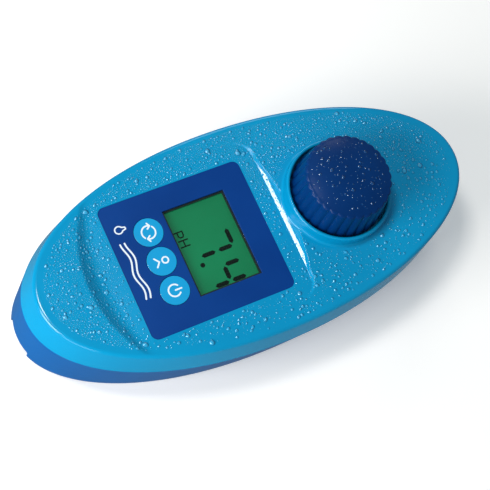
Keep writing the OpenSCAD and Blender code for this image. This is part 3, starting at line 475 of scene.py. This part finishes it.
def build_upper_shell():
    ring_n = 240
    foot_r = COLLAR_OUT + COLLAR_FILLET
    # the top, as a mesh over the plan with holes for the panel and the collar
    rim_x, rim_y = oval(RIM_OVAL, RIM_ROUND)
    edge = list(zip(rim_x, rim_y))
    pocket = resampled(rounded_rectangle(PANEL_L, PANEL_W, PANEL_R, POCKET_GAP), 0.7)
    panel = display_plan(pocket)
    ring = disc_outline(CELL_X, 0, foot_r, ring_n)
    points, edges = [], []
    for loop in (edge, panel, ring):
        first = len(points)
        points += [Vector(p) for p in loop]
        edges += [(first + i, first + (i + 1) % len(loop)) for i in range(len(loop))]
    n_edge, n_panel = len(edge), len(panel)
    points += [Vector(p) for p in top_points(foot_r)]
    flat, _, tris, *_ = delaunay_2d_cdt(points, edges, [], 1, 1e-7)
    flat = np.array([tuple(p) for p in flat])
    centre = np.array([flat[list(t)].mean(0) for t in tris])
    u = (centre[:, 0] - PANEL_X) / COS
    off_panel = rounded_distance(u, centre[:, 1], 0, PANEL_L, PANEL_W, PANEL_R) > 0.03
    off_ring = np.hypot(centre[:, 0] - CELL_X, centre[:, 1]) > foot_r * math.cos(math.pi / ring_n) - 0.01
    z = top_z(flat[:, 0], flat[:, 1])
    verts = [(x, y, h) for (x, y), h in zip(flat, z)]
    normals = [tuple(n) for n in top_normal(flat[:, 0], flat[:, 1])]
    faces = []
    for t, ok in zip(tris, off_panel & off_ring):
        if ok:
            a, b, c = (flat[i] for i in t)
            turn = (b[0] - a[0]) * (c[1] - a[1]) - (b[1] - a[1]) * (c[0] - a[0])
            faces.append(tuple(t) if turn > 0 else tuple(reversed(t)))

    def add_row(previous, row, row_normals):
        """Joins a new row of points to the row of equal length that starts at vertex previous."""
        start = len(verts)
        n = len(row)
        verts.extend(row)
        normals.extend(row_normals)
        for i in range(n):
            j = (i + 1) % n
            faces.append((previous + i, start + i, start + j, previous + j))
        return start

    # the rim's rounded edge and the outer wall down to the seam
    at = 0
    wall_x, wall_y = oval(RIM_OVAL, 0)
    seam_x, seam_y = oval(SEAM_OVAL, 0)
    rows = []
    for k in range(1, 7):
        a = math.pi / 2 * k / 6
        inset = RIM_ROUND * (1 - math.sin(a))
        x, y = oval(RIM_OVAL, inset)
        rows.append((x, y, rim_z(x) - RIM_ROUND * (1 - math.cos(a))))
    z_wall = rows[-1][2]
    for k in range(1, 9):
        s = k / 8
        x = wall_x + (seam_x - wall_x) * s
        y = wall_y + (seam_y - wall_y) * s
        rows.append((x, y, z_wall + (SEAM - z_wall) * s))
    grid_x, grid_y, grid_z = (
        np.stack([start] + [row[k] for row in rows]) for k, start in enumerate((rim_x, rim_y, rim_z(rim_x)))
    )
    along = np.stack([np.roll(g, -1, 1) - np.roll(g, 1, 1) for g in (grid_x, grid_y, grid_z)], -1)
    down = np.stack([np.gradient(g, axis=0) for g in (grid_x, grid_y, grid_z)], -1)
    wall_normals = np.cross(down, along)
    wall_normals /= np.linalg.norm(wall_normals, axis=-1, keepdims=True)
    for k, (x, y, h) in enumerate(rows, 1):
        at = add_row(at, [tuple(p) for p in zip(x, y, h)], [tuple(n) for n in wall_normals[k]])
    # the seam's underside and a plain inner wall, so that the shell has a thickness
    for inset, h, nz in ((0.0, SEAM, -1), (SIDE_WALL, SEAM, -1)):
        x, y = oval(SEAM_OVAL, inset)
        at = add_row(at, [(a, b, h) for a, b in zip(x, y)], [(0, 0, nz)] * OUTLINE_STEPS)
    for inset, depth in ((SIDE_WALL, 3.5), (9.0, 2.4)):
        x, y = oval(RIM_OVAL, inset)
        at = add_row(at, [(a, b, rim_z(a) - depth) for a, b in zip(x, y)], [(0, 0, -1)] * OUTLINE_STEPS)
    # the panel's pocket
    at = n_edge
    middle = np.array([PANEL_L / 2, 0])
    inward = middle - pocket
    inward /= np.linalg.norm(inward, axis=1, keepdims=True)
    for w, nz in ((-0.03, 0.7), (POCKET_LOW, 0.05), (POCKET_LOW, 1.0)):
        shift = 2.0 if nz == 1.0 else 0.0
        row = [in_display(u + i[0] * shift, v + i[1] * shift, w) for (u, v), i in zip(pocket, inward)]
        nrm = [tuple(Vector((i[0] * (1 - nz), i[1] * (1 - nz), nz)).normalized()) for i in inward]
        at = add_row(at, row, nrm)
    # the collar: fillet, outer wall, rounded crest, inner wall, recess floor, bore
    at = n_edge + n_panel
    ring = np.array(ring)
    direction = np.stack([(ring[:, 0] - CELL_X), ring[:, 1]], -1) / foot_r
    foot = top_z(ring[:, 0], ring[:, 1])
    profile = []
    for k in range(1, 7):
        a = math.pi / 2 * k / 6
        r, rise = foot_r - COLLAR_FILLET * math.sin(a), COLLAR_FILLET * (1 - math.cos(a))
        profile.append((r, rise, "foot", (math.sin(a), math.cos(a))))
    middle_r = (COLLAR_IN + COLLAR_OUT) / 2
    half = (COLLAR_OUT - COLLAR_IN) / 2
    for k in range(0, 13):
        a = math.pi * k / 12
        r, z_crest = middle_r + half * math.cos(a), COLLAR_TOP - COLLAR_CREST * (1 - math.sin(a))
        profile.append((r, z_crest, "crest", (math.cos(a), math.sin(a))))
    profile += [
        (COLLAR_IN, COLLAR_FLOOR + 0.3, "crest", (-1, 0)),
        (COLLAR_IN - 0.1, COLLAR_FLOOR + 0.05, "crest", (-0.7, 0.7)),
        (COLLAR_IN - 0.4, COLLAR_FLOOR, "crest", (0, 1)),
        (CELL_OUT + 0.3, COLLAR_FLOOR, "crest", (0, 1)),
        (CELL_OUT + 0.12, COLLAR_FLOOR - 0.1, "crest", (-0.7, 0.7)),
        (CELL_OUT + 0.12, COLLAR_FLOOR - 3.4, "crest", (-1, 0)),
    ]
    for r, h, kind, (nr, nz) in profile:
        row, nrm = [], []
        for d, f in zip(direction, foot):
            z_here = f + h if kind == "foot" else h
            row.append((CELL_X + d[0] * r, d[1] * r, z_here))
            nrm.append((d[0] * nr, d[1] * nr, nz))
        at = add_row(at, row, nrm)
    # turn every face the way its vertices' normals point
    place, facing = np.array(verts, float), np.array(normals, float)
    turned = []
    for f in faces:
        a, b, c = place[f[0]], place[f[1]], place[f[2]]
        cross = np.cross(b - a, c - a)
        if len(f) == 4:
            cross = cross + np.cross(c - a, place[f[3]] - a)
        turned.append(f if cross @ facing[list(f)].sum(0) >= 0 else tuple(reversed(f)))
    obj = new_object("upper_shell_skin", scaled(verts), turned, cyan)
    obj.data.normals_split_custom_set_from_vertices(normals)
    return obj


upper = build_upper_shell()
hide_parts("upper_shell")


# ------------------------------------------------------------------ lower shell
def prism_tool(low, high):
    """A cutting tool between two copies of an outline."""
    n = len(low)
    faces = [tuple(range(n - 1, -1, -1)), tuple(range(n, 2 * n))]
    faces += [(i, (i + 1) % n, n + (i + 1) % n, n + i) for i in range(n)]
    mesh = bpy.data.meshes.new("tool")
    mesh.from_pydata(scaled(low + high), [], faces)
    tool = bpy.data.objects.new("tool", mesh)
    bpy.context.scene.collection.objects.link(tool)
    return tool


def upright_tool(outline, top):
    return prism_tool([(x, y, -1) for x, y in outline], [(x, y, top) for x, y in outline])


def notch_tool():
    """Finger notch with rounded upper corners, in the base at the user's end."""
    quarter = np.linspace(0, math.pi / 2, 7)
    y_corner, z_corner = NOTCH_HALF - NOTCH_ROUND, NOTCH_TOP - NOTCH_ROUND
    outline = [(NOTCH_HALF, -1.0)]
    for a in quarter:
        outline.append((y_corner + NOTCH_ROUND * math.cos(a), z_corner + NOTCH_ROUND * math.sin(a)))
    for a in quarter:
        outline.append((-y_corner - NOTCH_ROUND * math.sin(a), z_corner + NOTCH_ROUND * math.cos(a)))
    outline.append((-NOTCH_HALF, -1.0))
    x_out, x_in = BASE_OVAL[0] - 1, BASE_OVAL[0] + NOTCH_DEEP
    return prism_tool([(x_out, y, z) for y, z in outline], [(x_in, y, z) for y, z in outline])


def build_lower_shell():
    rings = []

    def ring(o, inset, z):
        x, y = oval(o, inset)
        rings.append([(a, b, z) for a, b in zip(x, y)])

    # the floor's underside and the foot round it
    for inset, z in ((5.0, FLOOR_LOW), (3.05, FLOOR_LOW), (2.9, 1.0), (2.85, 0.1), (2.7, 0.0)):
        ring(BASE_OVAL, inset, z)
    for k in range(0, 5):
        a = math.pi / 2 * k / 4
        ring(BASE_OVAL, BASE_ROUND * (1 - math.sin(a)), BASE_ROUND * (1 - math.cos(a)))
    # the side, and a plain inner wall
    for k in range(1, 13):
        s = k / 12
        mixed = tuple(b + (c - b) * s for b, c in zip(BASE_OVAL, SEAM_OVAL))
        ring(mixed, 0.0, BASE_ROUND + (SEAM - 0.75) * s)
    ring(SEAM_OVAL, 0.12, SEAM)
    ring(SEAM_OVAL, SIDE_WALL, SEAM)
    ring(tuple(b + (c - b) * 0.1 for b, c in zip(BASE_OVAL, SEAM_OVAL)), SIDE_WALL + 0.3, FLOOR_TOP + 0.2)
    ring(BASE_OVAL, 5.0, FLOOR_TOP)
    verts, faces = loft(rings, close_first=True, close_last=True)
    obj = new_object("lower_shell_skin", scaled(verts), faces, blue)
    tools = [notch_tool()]
    for x, y in SCREW_PLACES:
        tools.append(upright_tool(disc_outline(x, y, SCREW_WAY_R, 40), SCREW_WAY_TOP))
    cover = [(COVER_X + x, y) for x, y in rounded_rectangle(COVER_L, COVER_W, COVER_R)]
    tools.append(upright_tool(cover, COVER_WAY_TOP))
    cut(obj, tools)
    for poly in obj.data.polygons:
        poly.use_smooth = True
    smooth_by_angle(obj, 35)
    return obj


def smooth_by_angle(obj, degrees):
    """Marks edges that turn by more than the angle as sharp."""
    bm = bmesh.new()
    bm.from_mesh(obj.data)
    limit = math.radians(degrees)
    for e in bm.edges:
        e.smooth = not (len(e.link_faces) == 2 and e.calc_face_angle(0) > limit)
    bm.to_mesh(obj.data)
    bm.free()


lower = build_lower_shell()
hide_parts("lower_shell")


# ------------------------------------------------------------------ cap
def build_cap():
    t = np.linspace(0, 2 * math.pi, FLUTES * 18, endpoint=False)
    wave = np.abs(np.sin(t * FLUTES / 2)) ** 0.8  # crest between flutes, valley at each flute
    lean = (CAP_FOOT_R - CAP_TOP_R) / (CAP_EDGE_Z - CAP_FOOT_Z)
    rings = []

    def ring(r, z, flute):
        d = r - flute * FLUTE_DEPTH * 1.6 * (1 - wave)
        rings.append([(a, b, z) for a, b in zip(CELL_X + d * np.cos(t), d * np.sin(t))])

    ring(CELL_OUT + 0.5, 37.2, 0)
    ring(CELL_OUT + 0.5, CAP_FOOT_Z, 0)
    ring(CAP_FOOT_R - 0.4, CAP_FOOT_Z, 0.6)
    ring(CAP_FOOT_R - 0.1, CAP_FOOT_Z + 0.12, 0.9)
    ring(CAP_FOOT_R, CAP_FOOT_Z + 0.4, 1)
    top = CAP_EDGE_Z - CAP_ROUND
    for k in range(1, 13):
        z = CAP_FOOT_Z + 0.4 + (top - CAP_FOOT_Z - 0.4) * k / 12
        ring(CAP_FOOT_R - (z - CAP_FOOT_Z) * lean, z, 1)
    r_top = CAP_FOOT_R - (top - CAP_FOOT_Z) * lean
    for k in range(1, 9):
        a = math.pi / 2 * k / 8
        r, z = r_top - CAP_ROUND * (1 - math.cos(a)), top + CAP_ROUND_RISE * math.sin(a)
        ring(r, z, 1 - 0.9 * (k / 8) ** 2)
    edge_r, edge_z = r_top - CAP_ROUND, top + CAP_ROUND_RISE
    for k in range(1, 25):
        s = 1 - k / 25
        ring(edge_r * s, edge_z + (CAP_TOP_Z - edge_z) * (1 - s**CAP_DOME), 0.1 * max(0, 1 - k / 4))
    verts, faces = loft(rings, close_last=True)
    return new_object("cap_shell_skin", scaled(verts), faces, cap_navy, "cap")


cap = build_cap()
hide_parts("cap_shell")


# ------------------------------------------------------------------ plates, keys, display
def plate(name, outlines, w0, w1, mat, body="casing", bevel=0.05):
    """A flat plate in the display frame: the first outline is its edge, the others are holes."""
    curve = bpy.data.curves.new(name, "CURVE")
    curve.dimensions, curve.fill_mode = "2D", "BOTH"
    for outline in outlines:
        spline = curve.splines.new("POLY")
        spline.points.add(len(outline) - 1)
        for p, (x, y) in zip(spline.points, outline):
            p.co = (x, y, 0, 1)
        spline.use_cyclic_u = True
    thick = (w1 - w0) / 2
    curve.bevel_depth = min(bevel, thick * 0.9)
    curve.bevel_resolution = 2
    curve.extrude = thick - curve.bevel_depth
    curve.offset = -curve.bevel_depth
    flat = bpy.data.objects.new("flat", curve)
    bpy.context.scene.collection.objects.link(flat)
    mesh = bpy.data.meshes.new_from_object(flat.evaluated_get(bpy.context.evaluated_depsgraph_get()))
    verts = [in_display(v.co.x, v.co.y, (w0 + w1) / 2 + v.co.z) for v in mesh.vertices]
    faces = [tuple(p.vertices) for p in mesh.polygons]
    bpy.data.objects.remove(flat)
    bpy.data.meshes.remove(mesh)
    return new_object(name, scaled(verts), faces, mat, body, smooth=False)


def stroke(points, width, closed=False):
    """Outline of a line of constant width with round ends, as a list of simple shapes."""
    shapes = []
    pairs = list(zip(points[:-1], points[1:]))
    if closed:
        pairs.append((points[-1], points[0]))
    for (x0, y0), (x1, y1) in pairs:
        a = math.atan2(y1 - y0, x1 - x0)
        out = []
        for k in range(9):
            b = a - math.pi / 2 + math.pi * k / 8
            out.append((x1 + width / 2 * math.cos(b), y1 + width / 2 * math.sin(b)))
        for k in range(9):
            b = a + math.pi / 2 + math.pi * k / 8
            out.append((x0 + width / 2 * math.cos(b), y0 + width / 2 * math.sin(b)))
        shapes.append(out)
    return shapes


def joined(name, parts, mat, body, w0, w1):
    """Several thin shapes as one piece, each a prism of its own."""
    verts, faces = [], []
    for k, out in enumerate(parts):
        n, first = len(out), len(verts)
        lift = 0.002 * (k % 5)
        verts += [in_display(u, v, w0) for u, v in out] + [in_display(u, v, w1 + lift) for u, v in out]
        faces.append(tuple(first + i for i in range(n - 1, -1, -1)))
        faces.append(tuple(first + n + i for i in range(n)))
        faces += [(first + i, first + (i + 1) % n, first + n + (i + 1) % n, first + n + i) for i in range(n)]
    return new_object(name, scaled(verts), faces, mat, body, smooth=False)


key_holes = [disc_outline(KEY_X, k * KEY_PITCH, KEY_D / 2 + KEY_GAP) for k in (-1, 0, 1)]
window_hole = [
    (WINDOW_X, -WINDOW_W / 2), (WINDOW_X + WINDOW_L, -WINDOW_W / 2),
    (WINDOW_X + WINDOW_L, WINDOW_W / 2), (WINDOW_X, WINDOW_W / 2),
]
overlay = plate(
    "keypad_overlay_print", [rounded_rectangle(PANEL_L, PANEL_W, PANEL_R)] + key_holes + [window_hole],
    OVERLAY_LOW, OVERLAY_TOP, navy, bevel=0.08,
)
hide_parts("keypad_overlay")
key_names = {1: "key_mode", 0: "key_zero", -1: "key_power"}
for row, node in key_names.items():
    disc = plate(node + "_disc", [disc_outline(KEY_X, row * KEY_PITCH, KEY_D / 2)], OVERLAY_LOW, OVERLAY_TOP,
                 key_cyan, node, bevel=0.06)
    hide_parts(node)


def arc(cx, cy, r, a0, a1, n=14):
    return [(cx + r * math.cos(math.radians(a0 + (a1 - a0) * i / n)),
             cy + r * math.sin(math.radians(a0 + (a1 - a0) * i / n))) for i in range(n + 1)]


# generic pictograms: two arrows in a circle, an arrow beside a ring, and a power sign
INK = 0.48
y_mode, y_zero, y_power = KEY_PITCH, 0.0, -KEY_PITCH
mode_ink = stroke(arc(KEY_X, y_mode, 2.1, 60, 220), INK) + stroke(arc(KEY_X, y_mode, 2.1, 240, 400), INK)
for way in (1, -1):
    arrow_head = [(KEY_X + way * du, y_mode + way * dv) for du, dv in ((0.1, 1.1), (1.05, 1.8), (0.5, 2.8))]
    mode_ink += stroke(arrow_head, INK)
zero_ink = stroke(arc(KEY_X + 1.15, y_zero, 0.95, 0, 360, 18), INK)
zero_ink += stroke([(KEY_X - 1.9, y_zero - 1.4), (KEY_X - 0.75, y_zero), (KEY_X - 1.9, y_zero + 1.4)], INK)
power_ink = stroke(arc(KEY_X - 0.1, y_power, 1.85, 40, 320, 18), INK)
power_ink += stroke([(KEY_X + 0.2, y_power), (KEY_X + 2.1, y_power)], INK)
for node, ink in (("key_mode", mode_ink), ("key_zero", zero_ink), ("key_power", power_ink)):
    joined(node + "_sign", ink, white_ink, node, OVERLAY_TOP - 0.02, OVERLAY_TOP + 0.02)

# two waves and a drop stand where the panel's printed name would be
badge_x, badge = 4.6, []
for line in (-1.5, -0.1):
    wave = [(badge_x + line + 0.55 * math.sin(k * 0.55), -9 + k * 0.9) for k in range(21)]
    badge += stroke(wave, 0.5)
drop = []
for a in np.linspace(0, 2 * math.pi, 24, endpoint=False):
    tip = 0.9 if abs(a - math.pi) < 0.3 else 0
    drop.append((badge_x - 0.6 - 1.2 * math.cos(a) + tip, 13.4 + 1.15 * math.sin(a)))
badge += stroke(drop, 0.4, closed=True)
joined("overlay_motif", badge, white_ink, "casing", OVERLAY_TOP - 0.02, OVERLAY_TOP + 0.02)


# ------------------------------------------------------------------ display content
def lcd(u, v):
    """A place on the LCD: u from its lower to its upper edge, v from its left to its right edge."""
    return WINDOW_X + u * WINDOW_L, WINDOW_W / 2 - v * WINDOW_W


def segment(u0, v0, u1, v1, width=1.35):
    (x0, y0), (x1, y1) = lcd(u0, v0), lcd(u1, v1)
    a = math.atan2(y1 - y0, x1 - x0)
    dx, dy = math.cos(a), math.sin(a)
    h = width / 2
    return [
        (x0, y0), (x0 + dx * h + dy * h, y0 + dy * h - dx * h), (x1 - dx * h + dy * h, y1 - dy * h - dx * h),
        (x1, y1), (x1 - dx * h - dy * h, y1 - dy * h + dx * h), (x0 + dx * h - dy * h, y0 + dy * h + dx * h),
    ]


digits = [
    segment(0.80, 0.40, 0.80, 0.575), segment(0.785, 0.595, 0.56, 0.595), segment(0.51, 0.595, 0.285, 0.595),
    segment(0.785, 0.765, 0.56, 0.765), segment(0.535, 0.78, 0.535, 0.93),
    segment(0.785, 0.95, 0.56, 0.95), segment(0.51, 0.95, 0.285, 0.95),
    disc_outline(*lcd(0.245, 0.685), 0.75, 16),
]
# the unit sign, left of the digits
unit = stroke([lcd(0.03, 0.26), lcd(0.17, 0.26)], 0.42)
bow = ((0.17, 0.26), (0.17, 0.305), (0.15, 0.325), (0.11, 0.325), (0.09, 0.305), (0.09, 0.26))
unit += stroke([lcd(u, v) for u, v in bow], 0.4)
unit += stroke([lcd(0.06, 0.36), lcd(0.2, 0.36)], 0.42) + stroke([lcd(0.06, 0.43), lcd(0.2, 0.43)], 0.42)
unit += stroke([lcd(0.13, 0.36), lcd(0.13, 0.43)], 0.4)
joined("lcd_segments", digits + unit, black_ink, "casing", LCD_TOP - 0.01, LCD_TOP + 0.02)


# ------------------------------------------------------------------ water drops
def drops(name, centres, normals, radii, body, mat, rows=3, sides=10):
    """Flattened domes of water, each a little out of round and sunk slightly into the surface."""
    sink = 0.03
    verts, faces = [], []
    for c, n, r in zip(centres, normals, radii):
        n = Vector(n)
        a = n.orthogonal().normalized()
        b = n.cross(a)
        stretch = rng.uniform(0.85, 1.15)
        height = r * rng.uniform(0.42, 0.6)
        first = len(verts)
        spin = rng.uniform(0, math.pi)
        for k in range(rows + 1):
            t = math.pi / 2 * k / rows
            out, up = r * math.cos(t), height * math.sin(t) - sink
            if k == rows:
                verts.append(tuple(Vector(c) + n * up))
                break
            for s in range(sides):
                w = 2 * math.pi * s / sides
                d = a * (math.cos(w + spin) * out * stretch) + b * (math.sin(w + spin) * out / stretch)
                verts.append(tuple(Vector(c) + d + n * up))
        for k in range(rows - 1):
            for s in range(sides):
                i, j = first + k * sides + s, first + k * sides + (s + 1) % sides
                faces.append((i, j, j + sides, i + sides))
        last = first + (rows - 1) * sides
        for s in range(sides):
            faces.append((last + s, last + (s + 1) % sides, first + rows * sides))
        faces.append(tuple(first + s for s in range(sides - 1, -1, -1)))
    return new_object(name, scaled(verts), faces, mat, body)


def scatter(count, keep, radius_range, spacing=0.12):
    """Random places on the upper shell's top that don't touch each other, with their radii."""
    found, cells = [], {}
    tries = 0
    while len(found) < count and tries < count * 60:
        tries += 1
        x, y = rng.uniform(RIM_OVAL[0], RIM_OVAL[1]), rng.uniform(-RIM_OVAL[2], RIM_OVAL[2])
        if rng.random() > keep(x, y):
            continue
        low, high = radius_range
        r = low + (high - low) * rng.random() ** 3
        if share_at(x, y) > 0.97 or math.hypot(x - CELL_X, y) < COLLAR_OUT + 1.2 + r:
            continue
        u = (x - PANEL_X) / COS
        if rounded_distance(np.array(u), np.array(y), 0, PANEL_L, PANEL_W, PANEL_R) < r + 0.3:
            continue
        key = (int(x // 3), int(y // 3))
        near = [p for i in (-1, 0, 1) for j in (-1, 0, 1) for p in cells.get((key[0] + i, key[1] + j), [])]
        if any(math.hypot(x - p[0], y - p[1]) < r + p[2] + spacing for p in near):
            continue
        cells.setdefault(key, []).append((x, y, r))
        found.append((x, y, r))
    return found


def far_side(x, y):
    """Dense along the far side and round the user's end, sparse on the near side."""
    far = max(0.0, min(1.0, (y + 2) / 16)) * (1.0 if x > -35 else 0.8)
    end = 0.75 if x < -44 else 0.0
    return max(far, end, 0.07)


shell_drops = scatter(4200, far_side, (0.15, 0.62))
shell_drops += scatter(60, lambda x, y: 1.0, (0.5, 0.95))
xs, ys, rs = (np.array(c) for c in zip(*shell_drops))
centres = np.stack([xs, ys, top_z(xs, ys)], -1)
drops("water_drops_shell", centres, top_normal(xs, ys), rs, "casing", water)


def cap_drops(count):
    """Centres, normals and radii of the drops on the cap's crowned top."""
    edge_r, edge_z = CAP_TOP_R - CAP_ROUND, CAP_EDGE_Z - CAP_ROUND + CAP_ROUND_RISE
    dome = CAP_TOP_Z - edge_z
    found, centres, normals = [], [], []
    while len(found) < count:
        a, r = rng.uniform(0, 2 * math.pi), (CAP_TOP_R - 1.6) * math.sqrt(rng.random())
        size = 0.2 + 0.5 * rng.random() ** 3
        x, y = CELL_X + r * math.cos(a), r * math.sin(a)
        if any(math.hypot(x - p[0], y - p[1]) <= size + p[2] + 0.1 for p in found):
            continue
        found.append((x, y, size))
        s = r / edge_r
        slope = dome * CAP_DOME * s ** (CAP_DOME - 1) / edge_r
        centres.append((x, y, edge_z + dome * (1 - s**CAP_DOME)))
        normals.append(tuple(Vector((slope * math.cos(a), slope * math.sin(a), 1)).normalized()))
    return centres, normals, [size for _, _, size in found]


centres, normals, radii = cap_drops(150)
drops("water_drops_cap", centres, normals, radii, "cap", water_dark)


# ------------------------------------------------------------------ camera, light, floor
def area(name, where, aim, size, power):
    """A square area light, in metres and watts."""
    light = bpy.data.lights.new(name, "AREA")
    light.energy, light.size = power, size
    obj = bpy.data.objects.new(name, light)
    bpy.context.scene.collection.objects.link(obj)
    obj.location = where
    obj.rotation_mode = "QUATERNION"
    obj.rotation_quaternion = (Vector(aim) - Vector(where)).to_track_quat("-Z", "Y")


def build_floor():
    mat = textured(material("floor", (0.97, 0.93, 0.88), 0.8), (0.96, 0.92, 0.87), (0.98, 0.94, 0.89), 3)
    shader = mat.node_tree.nodes["Principled BSDF"]
    shader.inputs["Emission Color"].default_value = (1.0, 0.98, 0.95, 1)
    shader.inputs["Emission Strength"].default_value = 0.22
    bm = bmesh.new()
    bmesh.ops.create_grid(bm, x_segments=8, y_segments=8, size=3.0)
    mesh = bpy.data.meshes.new("floor")
    bm.to_mesh(mesh)
    bm.free()
    mesh.materials.append(mat)
    obj = bpy.data.objects.new("floor", mesh)
    bpy.context.scene.collection.objects.link(obj)
    obj.location = (0, 0, -0.0002)
    obj.visible_glossy = False
    return obj


def build_camera():
    """The camera that was fitted to the photograph, in metres."""
    data = bpy.data.cameras.new("photo_camera")
    data.lens, data.sensor_width = 102.86, 36.0
    data.dof.use_dof = False
    data.clip_start, data.clip_end = 0.01, 20
    obj = bpy.data.objects.new("photo_camera", data)
    bpy.context.scene.collection.objects.link(obj)
    right = Vector((0.8783, -0.41635, 0.23504))
    up = Vector((0.32238, 0.87875, 0.35197))
    back = Vector((-0.35308, -0.23336, 0.90602))
    turn = Matrix((right, up, back)).transposed()
    obj.matrix_world = Matrix.Translation((-0.151285, -0.101884, 0.406923)) @ turn.to_4x4()
    return obj


scene = bpy.context.scene
world = bpy.data.worlds.new("studio")
world.use_nodes = True
world.node_tree.nodes["Background"].inputs["Color"].default_value = (0.62, 0.84, 1.0, 1)
world.node_tree.nodes["Background"].inputs["Strength"].default_value = 0.26
scene.world = world
scene.view_settings.view_transform = "Standard"

area("key_light", (-0.52, -0.05, 0.28), (0, 0, 0.02), 0.30, 3.1)
area("low_light", (-0.30, -0.22, 0.07), (-0.05, 0, 0.02), 0.16, 0.25)
area("strip_light", (-0.173, 0.143, 0.582), (0.0115, 0, 0.03), 0.11, 1.25)
area("far_light", (0.22, 0.45, 0.30), (0.02, 0, 0.02), 0.25, 0.55)

floor = build_floor()
scene.camera = build_camera()
